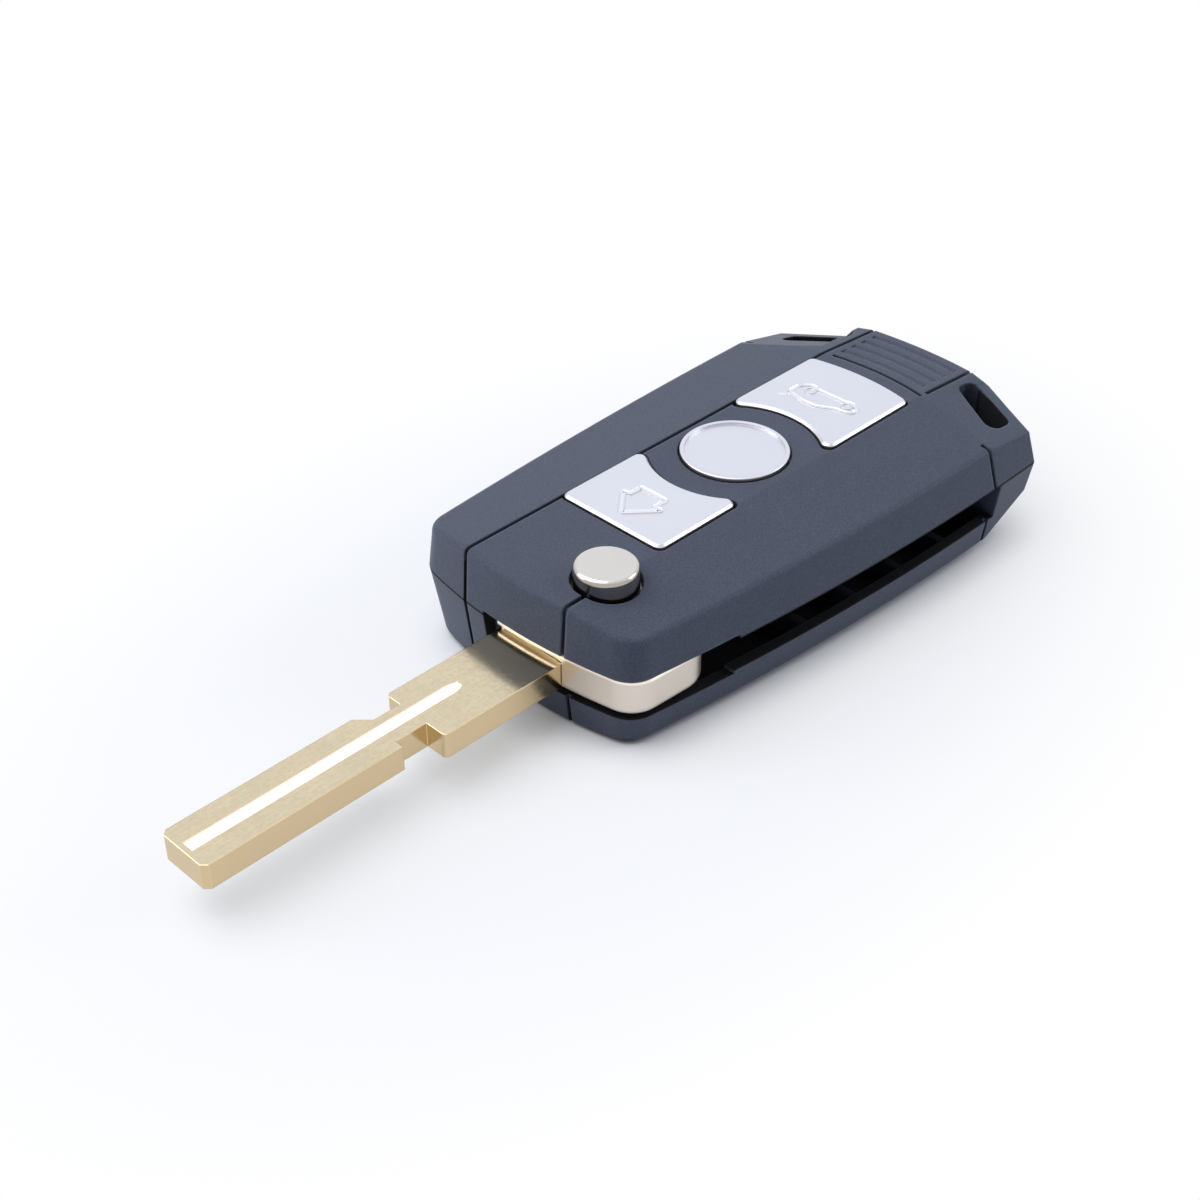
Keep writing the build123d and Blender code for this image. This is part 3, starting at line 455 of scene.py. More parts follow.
# Shader groups that more than one finish uses
def grain_group():
    """Fine moulded grain: a height, a speckle and a slow mottling."""

    def fill(tree, given, result):
        spot, grains = given["Vector"], given["Grains per Metre"]
        cells = output_of(
            tree, "ShaderNodeTexVoronoi", "Distance",
            {"Vector": spot, "Scale": grains, "Smoothness": 0.6}, feature="SMOOTH_F1"
        )
        fine = noise(tree, spot, grains, detail=3.0)
        slow = noise(tree, spot, given["Patches per Metre"], detail=4.0, roughness=0.6)
        feed(tree, calculate(tree, "ADD", cells, fine), result["Height"])
        feed(tree, fine, result["Speckle"])
        feed(tree, slow, result["Patches"])

    inputs = {"Vector": VECTOR, "Grains per Metre": 4500.0, "Patches per Metre": 120.0}
    outputs = {"Height": VALUE, "Speckle": VALUE, "Patches": VALUE}
    return node_tree("Moulded Grain", SHADER, inputs, outputs, fill)


def edge_group():
    """Rounded normals along sharp edges, and how near an edge is, from 0 to 1."""

    def fill(tree, given, result):
        rounded = output_of(tree, "ShaderNodeBevel", "Normal", {"Radius": given["Radius"]}, samples=6)
        plain = place(tree, "ShaderNodeNewGeometry").outputs["Normal"]
        meet = calculate_vector(tree, "DOT_PRODUCT", rounded, plain, "Value")
        feed(tree, rounded, result["Normal"])
        feed(tree, remapped(tree, meet, 1.0, given["Full At"]), result["Edge"])

    inputs = {"Radius": 0.12 * MM, "Full At": 0.75}
    return node_tree("Soft Edges", SHADER, inputs, {"Normal": VECTOR, "Edge": VALUE}, fill)


def brushed_group():
    """Fine lines along X, as drawing or milling leaves them."""

    def fill(tree, given, result):
        stretched = output_of(
            tree, "ShaderNodeMapping", "Vector", {"Vector": given["Vector"], "Scale": (0.02, 1.0, 1.0)}
        )
        feed(tree, noise(tree, stretched, given["Lines per Metre"], detail=4.0), result["Height"])

    inputs = {"Vector": VECTOR, "Lines per Metre": 9000.0}
    return node_tree("Drawn Lines", SHADER, inputs, {"Height": VALUE}, fill)


def open_group():
    """1 where a surface lies open, 0 where other faces close round it: the mask for painted shade."""

    def fill(tree, given, result):
        cover = output_of(
            tree, "ShaderNodeAmbientOcclusion", "AO", {"Distance": given["Distance"]}, samples=8
        )
        feed(tree, remapped(tree, cover, given["Shut"], given["Clear"]), result["Open"])

    inputs = {"Distance": 6.0 * MM, "Shut": 0.2, "Clear": 0.8}
    return node_tree("Open Places", SHADER, inputs, {"Open": VALUE}, fill)


def level_group():
    """1 where a surface lies level with the key, 0 where it is steep."""

    def fill(tree, given, result):
        upright = calculate(tree, "ABSOLUTE", along(tree, given["Normal"], "Z"))
        feed(tree, remapped(tree, upright, given["Steep"], given["Flat"]), result["Level"])

    inputs = {"Normal": VECTOR, "Steep": 0.2, "Flat": 0.9}
    return node_tree("Level Places", SHADER, inputs, {"Level": VALUE}, fill)


def band_group():
    """1 where a value is less than a half width from a middle, else 0."""

    def fill(tree, given, result):
        offset = calculate(tree, "SUBTRACT", given["Value"], given["Middle"])
        size = calculate(tree, "ABSOLUTE", offset)
        feed(tree, calculate(tree, "LESS_THAN", size, given["Half Width"]), result["Inside"])

    inputs = {"Value": 0.0, "Middle": 0.0, "Half Width": 1.0 * MM}
    return node_tree("Narrow Band", SHADER, inputs, {"Inside": VALUE}, fill)


def use_group(tree, group, **inputs):
    """The outputs of a group placed in a tree. In a name, an underscore stands for a space."""
    node = place(tree, "ShaderNodeGroup", node_tree=group)
    for name, source in inputs.items():
        feed(tree, source, node.inputs[name.replace("_", " ")])
    return node.outputs


def openness(tree, distance, shut, clear):
    """How open a place lies, from shut to clear."""
    return use_group(tree, open_group(), Distance=distance, Shut=shut, Clear=clear)["Open"]


def flatness(tree, normal, steep, flat):
    """How level a face lies, from steep to flat."""
    return use_group(tree, level_group(), Normal=normal, Steep=steep, Flat=flat)["Level"]


def within(tree, value, middle, half):
    """1 where a value is close to a middle, else 0."""
    return use_group(tree, band_group(), Value=value, Middle=middle, Half_Width=half)["Inside"]


def noise_range(tree, source, low, high):
    """A noise spread over a range."""
    return remapped(tree, source, NOISE_LOW, NOISE_HIGH, low, high)


def tint(tree, colour, source, low, high):
    """One colour made a little darker or lighter by a noise."""
    return mix_colours(tree, noise_range(tree, source, 0.0, 1.0), shaded(colour, low), shaded(colour, high))


# Finishes
def coordinates(tree):
    """The place on the object and the direction that the face looks to."""
    outputs = place(tree, "ShaderNodeTexCoord").outputs
    return outputs["Object"], outputs["Normal"]


def add_relief(tree, surface, height, normal, strength):
    """Fine relief over normals that are already rounded along the edges."""
    inputs = {"Strength": strength, "Distance": RELIEF_DEPTH, "Height": height, "Normal": normal}
    feed(tree, output_of(tree, "ShaderNodeBump", "Normal", inputs), surface.inputs["Normal"])


def hidden_side(tree, spot, normal, middle, top):
    """1 on faces of a hollow shell that look to its long middle line and lie lower than its top, else 0."""
    from_middle = calculate_vector(tree, "SUBTRACT", spot, (0.0, 0.0, middle))
    across = calculate_vector(tree, "MULTIPLY", from_middle, (0.0, 1.0, 1.0))
    outward = calculate_vector(tree, "DOT_PRODUCT", across, normal, "Value")
    inward = calculate(tree, "LESS_THAN", outward, -HIDDEN_TURN)
    below = calculate(tree, "LESS_THAN", along(tree, spot, "Z"), top)
    return calculate(tree, "MULTIPLY", inward, below)


def moulded_finish(
    name, colour, roughness, grain_size, bump, painted_edge_light=1.5, radius=0.14 * MM, sheen=0.0, shade_and_seam_colour=None
):
    """Moulded plastic or rubber: grain, faint mottling and a painted highlight along the edges, in patches.

    Where a shade colour is given, it is painted as shade in the depths and on hidden sides, and as a dark line
    where the two halves meet.
    """
    material, tree, surface = fresh_material(name)
    surface.inputs["Specular IOR Level"].default_value = 0.15
    surface.inputs["Sheen Weight"].default_value = sheen
    surface.inputs["Sheen Roughness"].default_value = 0.45
    surface.inputs["Sheen Tint"].default_value = (*SHEEN_TONE, 1.0)
    spot, normal = coordinates(tree)
    grain = use_group(tree, grain_group(), Vector=spot, Grains_per_Metre=1.0 / grain_size)
    edges = use_group(tree, edge_group(), Radius=radius, Full_At=0.955)
    mottled = tint(tree, colour, grain["Patches"], 0.94, 1.06)
    speckled = tint(tree, colour, grain["Speckle"], 0.66, 1.42)
    plain = mix_colours(tree, 0.5, mottled, speckled)
    # Painted highlight: the edges are made paler, in patches
    patchy_edge_highlight = calculate(tree, "MULTIPLY", edges["Edge"], noise_range(tree, grain["Patches"], 0.25, 1.0))
    skin = mix_colours(tree, patchy_edge_highlight, plain, shaded(colour, painted_edge_light))
    if shade_and_seam_colour is not None:
        # Painted shade: the shade colour fills the depths and the inner sides, and a dark line is painted
        # where the two halves meet
        skin = mix_colours(tree, openness(tree, CASE_REACH, 0.12, 0.45), shade_and_seam_colour, skin)
        hidden = hidden_side(tree, spot, normal, CASE_MIDDLE, HIDDEN_TOP)
        skin = mix_colours(tree, hidden, skin, shade_and_seam_colour)
        parting = within(tree, along(tree, spot, "Z"), PARTING_HEIGHT, PARTING_HALF)
        skin = mix_colours(tree, parting, skin, shade_and_seam_colour)
    feed(tree, skin, surface.inputs["Base Color"])
    dullness = noise_range(tree, grain["Patches"], roughness - 0.03, roughness + 0.03)
    feed(tree, dullness, surface.inputs["Roughness"])
    add_relief(tree, surface, grain["Height"], edges["Normal"], bump)
    return material


def plated_finish(
    name, colour, roughness, radius=0.10 * MM, clouds=0.02, ripple=0.05, steep_shade=None, painted_edge_light=1.22, rim=None
):
    """Plated metal: faint clouds and ripples in its polish, and edges painted lighter as a highlight, or
    darker as shade where their share is below 1.

    A value below 1 for the steep faces paints shade on them, and a rim is the height up to which a highlight
    is painted.
    """
    material, tree, surface = fresh_material(name)
    surface.inputs["Metallic"].default_value = 1.0
    spot, normal = coordinates(tree)
    grain = use_group(tree, grain_group(), Vector=spot, Grains_per_Metre=900.0, Patches_per_Metre=90.0)
    edges = use_group(tree, edge_group(), Radius=radius)
    clouded = tint(tree, colour, grain["Patches"], 1.0 - clouds, 1.0 + clouds)
    # Painted highlight along the edges, or painted shade there when the share is below 1
    skin = mix_colours(tree, edges["Edge"], clouded, shaded(colour, painted_edge_light))
    # Painted shade on the steep faces, a little warmer in colour
    if steep_shade is not None:
        level = flatness(tree, normal, 0.60, 0.98)
        skin = mix_colours(tree, level, shaded(colour, steep_shade, STEEP_SHADE_TONE), skin)
    # Painted highlight on a narrow band just under the rim
    if rim is not None:
        rim_highlight = remapped(tree, along(tree, spot, "Z"), rim - RIM_HIGHLIGHT_START, rim - RIM_HIGHLIGHT_FULL)
        skin = mix_colours(tree, rim_highlight, skin, shaded(colour, 1.45))
    feed(tree, skin, surface.inputs["Base Color"])
    dullness = noise_range(tree, grain["Patches"], roughness - clouds, roughness + clouds)
    feed(tree, dullness, surface.inputs["Roughness"])
    add_relief(tree, surface, grain["Height"], edges["Normal"], ripple)
    return material


def blade_finish(name, colour):
    """Rolled brass with handling marks, painted shade on its narrow sides, a painted highlight along its
    edges, and brighter metal in the milled track.
    """
    material, tree, surface = fresh_material(name)
    surface.inputs["Metallic"].default_value = 1.0
    spot, normal = coordinates(tree)
    lines = use_group(tree, brushed_group(), Vector=spot)
    grain = use_group(tree, grain_group(), Vector=spot, Grains_per_Metre=1500.0, Patches_per_Metre=260.0)
    edges = use_group(tree, edge_group(), Radius=0.16 * MM)
    clouded = tint(tree, colour, grain["Patches"], 0.93, 1.07)
    drawn = tint(tree, colour, lines["Height"], 0.88, 1.12)
    rolled = mix_colours(tree, 0.5, clouded, drawn)

    # Small tarnished spots, and a fine wear over all
    spots = output_of(tree, "ShaderNodeTexVoronoi", "Distance", {"Vector": spot, "Scale": 420.0})
    tarnish = remapped(tree, spots, 0.10, 0.02, to_high=0.30)
    marked = mix_colours(tree, tarnish, rolled, shaded(colour, 0.5))
    fine = noise(tree, spot, 2600.0, detail=5.0)
    worn = noise_range(tree, fine, -0.10, 0.32)
    aged = mix_colours(tree, worn, marked, shaded(colour, 1.0, AGED_TONE))

    # Painted shade on the narrow sides, which are a little deeper in colour than the rolled faces
    level = flatness(tree, normal, 0.20, 0.30)
    sides = mix_colours(tree, level, shaded(colour, 1.0, SIDE_SHADE_TONE), aged)
    # Painted highlight along the edges, lighter and more golden
    edge_highlighted = mix_colours(tree, edges["Edge"], sides, shaded(colour, 1.0, EDGE_HIGHLIGHT_TONE))

    # The fresh cut of the track lies under the faces of the blade, and the blade's end isn't part of it
    sunk = within(tree, along(tree, spot, "Z"), BLADE_MIDDLE, BLADE_HIGH.z - BLADE_MIDDLE - TRACK_SINK)
    beside = within(tree, along(tree, spot, "Y"), TRACK_MIDDLE, TRACK_HALF)
    not_end = within(tree, along(tree, normal, "X"), 0.0, 0.9)
    fresh = calculate(tree, "MULTIPLY", calculate(tree, "MULTIPLY", sunk, beside), not_end)
    feed(tree, mix_colours(tree, fresh, edge_highlighted, MILLED_COLOUR), surface.inputs["Base Color"])
    polish = {"Factor": fresh, "A": noise_range(tree, fine, 0.12, 0.20), "B": 0.40}
    feed(tree, output_of(tree, "ShaderNodeMix", "Result", polish), surface.inputs["Roughness"])
    add_relief(tree, surface, grain["Height"], edges["Normal"], 0.10)
    return material


class KEY_OT_case(bpy.types.Operator):
    """Gives both halves of the case their soft-touch plastic"""

    bl_idname = "flipkey.case"
    bl_label = "Case Halves"

    def execute(self, context):
        shell = settings(context, "key_shell")
        # Painted highlight along the edges, painted shade in the depths and on the inner sides, and a dark
        # line along the seam
        plastic = moulded_finish(
            "soft_touch_plastic", shell.case_colour, shell.case_roughness, shell.grain_size, 0.60,
            radius=0.35 * MM, sheen=0.10, shade_and_seam_colour=shell.inner_and_shade_colour
        )
        paint("upper_case", plastic)
        paint("lower_case", plastic)
        return {"FINISHED"}


class KEY_OT_inside(bpy.types.Operator):
    """Finishes the pad, frame, guard and chip tray inside the case"""

    bl_idname = "flipkey.inside"
    bl_label = "Inner Mouldings"

    def execute(self, context):
        shell = settings(context, "key_shell")
        # The inner mouldings and the pad get a painted highlight along their edges
        moulding = moulded_finish("inner_moulding", shell.inner_and_shade_colour, 0.5, shell.grain_size, 0.3)
        rubber = moulded_finish("pad_rubber", shell.rubber_colour, 0.7, shell.grain_size * 1.4, 0.5)
        for name in ("board_frame", "blade_guard", "chip_holder"):
            paint(name, moulding)
        paint("button_pad", rubber)
        return {"FINISHED"}


class KEY_OT_buttons(bpy.types.Operator):
    """Finishes the three caps in satin silver and the flip button in nickel"""

    bl_idname = "flipkey.buttons"
    bl_label = "Buttons"

    def execute(self, context):
        metal = settings(context, "key_metal")
        # The caps get painted shade on their steep faces and along their edges
        satin = plated_finish(
            "satin_silver", metal.button_colour, 0.36, clouds=0.012, steep_shade=0.80, painted_edge_light=0.80
        )
        for name in ("lock_button", "unlock_button", "boot_button"):
            paint(name, satin)
        # The flip button gets painted shade on its steep sides and a painted highlight along its edges
        nickel = plated_finish(
            "bright_nickel", metal.flip_button_colour, 0.16,
            radius=0.08 * MM, clouds=0.03, ripple=0.10, steep_shade=0.62
        )
        paint("flip_button", nickel)
        return {"FINISHED"}


class KEY_OT_blade(bpy.types.Operator):
    """Finishes the nickel head, the brass blade and its pin"""

    bl_idname = "flipkey.blade"
    bl_label = "Blade and Head"

    def execute(self, context):
        metal = settings(context, "key_metal")
        # The head gets a painted highlight along its edges and on a band under its rim
        satin = plated_finish(
            "satin_nickel", metal.nickel_colour, 0.36, radius=0.15 * MM, clouds=0.03, rim=HEAD_TOP
        )
        paint("blade_head", satin)
        paint("key_blade", blade_finish("milled_brass", metal.brass_colour))
        # Painted highlight along the edges of the steel parts
        steel = plated_finish("spring_steel", metal.steel_colour, 0.28, radius=0.04 * MM, clouds=0.04)
        for name in ("blade_pin", "spring_seat", "head_washer", "index_ring"):
            paint(name, steel)
        return {"FINISHED"}


# Raised outline signs. Their sections give shares of the half width and of the height, and at a sharp
# corner the line gets no wider than LONGEST_MITRE.
TWO_RIDGES = (
    (-1.0, -0.5), (-0.84, 1.0), (-0.68, 1.0), (-0.46, 0.3), (0.46, 0.3), (0.68, 1.0), (0.84, 1.0), (1.0, -0.5)
)
ONE_RIDGE = ((-1.0, -0.5), (-0.45, 1.0), (0.45, 1.0), (1.0, -0.5))
LONGEST_MITRE, SHARPEST_TURN = 2.5, 0.3


def add_band(bm, points, closed, section, width, height, base):
    """A raised line along flat points, sunk a little into its cap."""
    corners = [Vector(p) for p in points]
    count, wide = len(corners), len(section)
    rings = []
    for i, here in enumerate(corners):
        before = corners[i - 1] if closed or i > 0 else None
        after = corners[(i + 1) % count] if closed or i < count - 1 else None
        into = (here - before).normalized() if before else (after - here).normalized()
        out = (after - here).normalized() if after else into
        side_in = Vector((-into.y, into.x))
        side_out = Vector((-out.y, out.x))
        mitre = (side_in + side_out).normalized()
        reach = min(LONGEST_MITRE, 1.0 / max(SHARPEST_TURN, mitre.dot(side_in)))
        ring = []
        for share, level in section:
            spot = here + mitre * (share * width / 2 * reach)
            ring.append(bm.verts.new((spot.x, spot.y, base + level * height)))
        rings.append(ring)
    for i in range(count if closed else count - 1):
        first, second = rings[i], rings[(i + 1) % count]
        for k in range(wide):
            bm.faces.new((first[k], first[(k + 1) % wide], second[(k + 1) % wide], second[k]))
    if not closed:
        bm.faces.new(rings[0])
        bm.faces.new(list(reversed(rings[-1])))


def rounded_path(points, radius, steps=5, closed=True):
    """The path with its corners rounded, by at most a bit less than half of a side."""
    corners = [Vector(p) for p in points]
    count = len(corners)
    path = []
    for i, here in enumerate(corners):
        if not closed and i in (0, count - 1):
            path.append(here)
            continue
        before = corners[i - 1] - here
        after = corners[(i + 1) % count] - here
        cut = min(radius, 0.45 * before.length, 0.45 * after.length)
        start, end = here + before.normalized() * cut, here + after.normalized() * cut
        for step in range(steps + 1):
            t = step / steps
            path.append(start.lerp(here, t).lerp(here.lerp(end, t), t))
    return path


# Sign outlines seen from above, in millimetres from the middle of their cap
ARROW = (
    (-4.35, 0.17), (-1.33, 2.72), (-1.10, 1.95), (0.55, 1.92), (0.55, -1.64), (-1.10, -1.64), (-1.20, -2.60)
)
CAR_BODY = (
    (-1.10, 3.80), (0.85, 3.80), (1.65, 2.75), (1.65, 2.20), (1.38, 1.55), (1.38, -2.10), (1.70, -3.10),
    (1.10, -4.35), (0.10, -4.40), (-0.45, -3.50), (-0.55, -2.30), (-1.66, -0.40), (-1.70, 1.60)
)
CAR_LID = ((-2.45, 4.30), (-1.72, 3.40), (-1.25, 3.72))
CAR_WHEELS = ((0.62, 2.05), (0.72, -3.05))
WHEEL_RADIUS, WHEEL_SIDES = 0.62, 12


class KEY_OT_signs(bpy.types.Operator):
    """Raises a plain arrow outline on the front cap and a plain car outline on the rear cap"""

    bl_idname = "flipkey.signs"
    bl_label = "Button Signs"

    def execute(self, context):
        sizes = settings(context, "key_signs")
        metal = settings(context, "key_metal")
        # The signs are lighter than their caps, a painted highlight on the ridges, with painted shade on their
        # steep sides
        satin = plated_finish(
            "sign_silver", shaded(metal.button_colour, 1.12), 0.30, radius=0.02 * MM, steep_shade=0.66
        )

        def sign(name, node_name, body, bands):
            """Bands hold a path, its corner radius, whether it is closed, its section and its width."""
            low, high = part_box(node_name)
            middle = Vector(((low[0] + high[0]) / 2, (low[1] + high[1]) / 2))
            bm = bmesh.new()
            for points, corner, closed, section, width in bands:
                path = [middle + p * MM for p in rounded_path(points, corner, closed=closed)]
                add_band(bm, path, closed, section, width, sizes.line_height, CAP_TOP)
            piece = mesh_object(context, name, bm, satin, smooth=False)
            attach(piece, body)

        wide = sizes.line_width
        sign("arrow_sign", "lock_button", "lock", [(ARROW, 0.20, True, TWO_RIDGES, wide)])
        bands = [
            (CAR_BODY, 0.45, True, TWO_RIDGES, wide * 0.8),
            (CAR_LID, 0.15, False, ONE_RIDGE, wide * 0.7),
        ]
        angles = [math.tau * k / WHEEL_SIDES for k in range(WHEEL_SIDES)]
        for x, y in CAR_WHEELS:
            wheel = [(x + WHEEL_RADIUS * math.cos(a), y + WHEEL_RADIUS * math.sin(a)) for a in angles]
            bands.append((wheel, 0.2, True, ONE_RIDGE, wide * 0.3))
        sign("boot_sign", "boot_button", "boot", bands)
        return {"FINISHED"}


# Points of a solid's loose triangles that are nearer than this are one point
MERGE_DISTANCE = 0.002 * MM


def islands(node_name):
    """The box of each separate solid in a node."""
    bm = bmesh.new()
    bm.from_mesh(NODES[node_name].data)
    bmesh.ops.remove_doubles(bm, verts=bm.verts, dist=MERGE_DISTANCE)
    left = set(bm.verts)
    boxes = []
    while left:
        todo = [left.pop()]
        low, high = todo[0].co.copy(), todo[0].co.copy()
        while todo:
            vertex = todo.pop()
            for axis in range(3):
                low[axis] = min(low[axis], vertex.co[axis])
                high[axis] = max(high[axis], vertex.co[axis])
            for edge in vertex.link_edges:
                other = edge.other_vert(vertex)
                if other in left:
                    left.remove(other)
                    todo.append(other)
        boxes.append((low, high))
    bm.free()
    return boxes


def swept(tree, path, section):
    """A closed solid of one section along a path."""
    inputs = {"Curve": path, "Profile Curve": section, "Fill Caps": True}
    return output_of(tree, "GeometryNodeCurveToMesh", "Mesh", inputs)


def on_places(tree, given, piece):
    """A piece on each of the tree's places, as one real mesh in the tree's finish."""
    inputs = {"Points": given["Places"], "Instance": piece}
    spread = output_of(tree, "GeometryNodeInstanceOnPoints", "Instances", inputs)
    real = output_of(tree, "GeometryNodeRealizeInstances", "Geometry", {"Geometry": spread})
    coated = {"Geometry": real, "Material": given["Finish"]}
    return output_of(tree, "GeometryNodeSetMaterial", "Geometry", coated)


def screw_tree():
    """Geometry nodes: one screw on each point, head down, with a cross recess and a thread."""

    def fill(tree, given, result):
        def scaled(socket, factor):
            return calculate(tree, "MULTIPLY", socket, factor)

        def summed(first, second):
            return calculate(tree, "ADD", first, second)

        def vector(**sizes):
            return output_of(tree, "ShaderNodeCombineXYZ", "Vector", sizes)

        def lifted(geometry, height):
            inputs = {"Geometry": geometry, "Translation": vector(Z=height)}
            return output_of(tree, "GeometryNodeTransform", "Geometry", inputs)

        def joined(parts):
            node = place(tree, "GeometryNodeJoinGeometry")
            for part in parts:
                feed(tree, part, node.inputs["Geometry"])
            return node.outputs["Geometry"]

        def cylinder(sides, radius, depth):
            inputs = {"Vertices": sides, "Radius": radius, "Depth": depth}
            return output_of(tree, "GeometryNodeMeshCylinder", "Mesh", inputs)

        head_radius, head_height = given["Head Radius"], given["Head Height"]
        shank_radius, length = given["Shank Radius"], given["Length"]

        head = lifted(cylinder(given["Head Sides"], head_radius, head_height), scaled(head_height, 0.5))
        reach = scaled(scaled(head_radius, 2.0), given["Recess Share"])
        thick = scaled(head_radius, 0.26)
        arms = joined(
            output_of(tree, "GeometryNodeMeshCube", "Mesh", {"Size": vector(X=x, Y=y, Z=head_height)})
            for x, y in ((reach, thick), (thick, reach))
        )
        crossed = output_of(
            tree, "GeometryNodeMeshBoolean", "Mesh",
            {"Mesh 1": head, "Mesh 2": arms, "Self Intersection": True}, operation="DIFFERENCE", solver="EXACT"
        )

        core = cylinder(20, scaled(shank_radius, 0.80), scaled(length, 0.98))
        core = lifted(core, summed(head_height, scaled(length, 0.49)))

        helix_radius = scaled(shank_radius, 0.82)
        helix = output_of(tree, "GeometryNodeCurveSpiral", "Curve", {
            "Resolution": 20, "Rotations": given["Turns"], "Height": scaled(length, 0.84),
            "Start Radius": helix_radius, "End Radius": helix_radius,
        })
        rib = output_of(
            tree, "GeometryNodeCurvePrimitiveCircle", "Curve",
            {"Resolution": 4, "Radius": scaled(shank_radius, 0.17)}
        )
        thread = swept(tree, helix, rib)
        thread = lifted(thread, summed(head_height, scaled(length, 0.10)))

        screw = joined((crossed, core, thread))
        feed(tree, on_places(tree, given, screw), result["Screws"])

    inputs = {
        "Places": SHAPE, "Head Radius": 1.7 * MM, "Head Height": 1.1 * MM, "Shank Radius": 0.9 * MM,
        "Length": 9.0 * MM, "Turns": 12.0, "Recess Share": 0.62, "Head Sides": 40, "Finish": COAT,
    }
    return node_tree("Screws From Below", GEOMETRY, inputs, {"Screws": SHAPE}, fill)


def spring_tree():
    """Geometry nodes: one coil of round wire that stands on each point."""

    def fill(tree, given, result):
        coil = output_of(tree, "GeometryNodeCurveSpiral", "Curve", {
            "Resolution": 28, "Rotations": given["Turns"], "Height": given["Height"],
            "Start Radius": given["Mean Radius"], "End Radius": given["Mean Radius"],
        })
        section = output_of(
            tree, "GeometryNodeCurvePrimitiveCircle", "Curve",
            {"Resolution": given["Wire Sides"], "Radius": given["Wire Radius"]}
        )
        feed(tree, on_places(tree, given, swept(tree, coil, section)), result["Spring"])

    inputs = {
        "Places": SHAPE, "Mean Radius": 2.2 * MM, "Wire Radius": 0.275 * MM, "Height": 13.0 * MM,
        "Turns": 7.0, "Wire Sides": 10, "Finish": COAT,
    }
    return node_tree("Coil Spring", GEOMETRY, inputs, {"Spring": SHAPE}, fill)


def set_input(modifier, name, value):
    """Sets a modifier's input by its socket's identifier."""
    for item in modifier.node_group.interface.items_tree:
        if item.item_type == "SOCKET" and item.in_out == "INPUT" and item.name == name:
            modifier[item.identifier] = value
            return
    raise RuntimeError("the tree has no input " + name)


def plain_piece(context, name, places, tree, inputs, smooth):
    """The plain mesh that a geometry tree makes on some places, as an object at the origin."""
    spots = bpy.data.meshes.new(name + "_spots")
    spots.from_pydata(places, [], [])
    holder = bpy.data.objects.new(name + "_holder", spots)
    context.scene.collection.objects.link(holder)
    modifier = holder.modifiers.new("pieces", "NODES")
    modifier.node_group = tree
    for key, value in inputs.items():
        set_input(modifier, key, value)
    context.view_layer.update()
    finished = holder.evaluated_get(context.evaluated_depsgraph_get())
    mesh = bpy.data.meshes.new_from_object(finished)
    bpy.data.objects.remove(holder)
    bpy.data.meshes.remove(spots)
    bm = bmesh.new()
    bm.from_mesh(mesh)
    bpy.data.meshes.remove(mesh)
    return mesh_object(context, name, bm, inputs["Finish"], smooth=smooth)


def detailed_screws(context, node_name, head_height, head_radius, shank_radius):
    """A plain mesh of detailed screws where the node's solids are."""
    sizes = settings(context, "key_screws")
    metal = settings(context, "key_metal")
    zinc = bpy.data.materials.get("zinc_steel")
    if zinc is None:
        # Painted highlight along the screws' edges
        zinc = plated_finish("zinc_steel", metal.steel_colour, 0.34, radius=0.05 * MM, clouds=0.05)
    boxes = islands(node_name)
    places = [((a.x + b.x) / 2, (a.y + b.y) / 2, a.z) for a, b in boxes]
    length = boxes[0][1].z - boxes[0][0].z - head_height
    inputs = {
        "Head Radius": head_radius,
        "Head Height": head_height,
        "Shank Radius": shank_radius,
        "Length": length,
        "Turns": sizes.thread_turns_per_mm * length / MM,
        "Recess Share": sizes.recess_share,
        "Head Sides": sizes.head_sides,
        "Finish": zinc,
    }
    piece = plain_piece(context, node_name + "_detailed", places, screw_tree(), inputs, smooth=False)
    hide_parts(node_name)
    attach(piece, "case")


# Head height, head radius and shank radius of each kind of screw
SCREWS = {
    "case_screws": (1.1 * MM, 1.7 * MM, 0.9 * MM),
    "inner_screws": (0.55 * MM, 1.35 * MM, 0.65 * MM),
    "pivot_screw": (0.65 * MM, 1.35 * MM, 0.65 * MM),
}


class KEY_OT_screws(bpy.types.Operator):
    """Puts threads and cross recesses on the case, inner and pivot screws"""

    bl_idname = "flipkey.screws"
    bl_label = "Screws"

    def execute(self, context):
        for node_name, screw_sizes in SCREWS.items():
            detailed_screws(context, node_name, *screw_sizes)
        return {"FINISHED"}


class KEY_OT_spring(bpy.types.Operator):
    """Winds the spring under the flip button"""

    bl_idname = "flipkey.spring"
    bl_label = "Flip Spring"

    def execute(self, context):
        sizes = settings(context, "key_spring")
        metal = settings(context, "key_metal")
        low, high = (Vector(corner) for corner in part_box("flip_spring"))
        height = high.z - low.z
        foot = Vector(((low.x + high.x) / 2, (low.y + high.y) / 2, low.z + sizes.wire_radius))
        inputs = {
            "Mean Radius": (high.x - low.x) / 2 - sizes.wire_radius,
            "Wire Radius": sizes.wire_radius,
            "Height": height - 2 * sizes.wire_radius,
            "Turns": sizes.turns,
            "Wire Sides": sizes.wire_sides,
            # The coil steel gets a painted highlight along its edges
            "Finish": plated_finish("coil_steel", metal.steel_colour, 0.30, radius=0.04 * MM, clouds=0.04),
        }
        piece = plain_piece(context, "flip_spring_coil", [foot], spring_tree(), inputs, smooth=True)
        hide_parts("flip_spring")
        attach(piece, "case")
        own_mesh(piece)
        return {"FINISHED"}


# Floor: its size, and the oval round the key outside which it is plain white, in metres
FLOOR_COLOUR = (0.90, 0.925, 1.0)
FLOOR_HALF, FLOOR_DROP = 1.5, 0.05 * MM
FADE_START, FADE_FULL, FADE_SQUEEZE = 0.045, 0.092, (1.0, 1.6, 1.0)

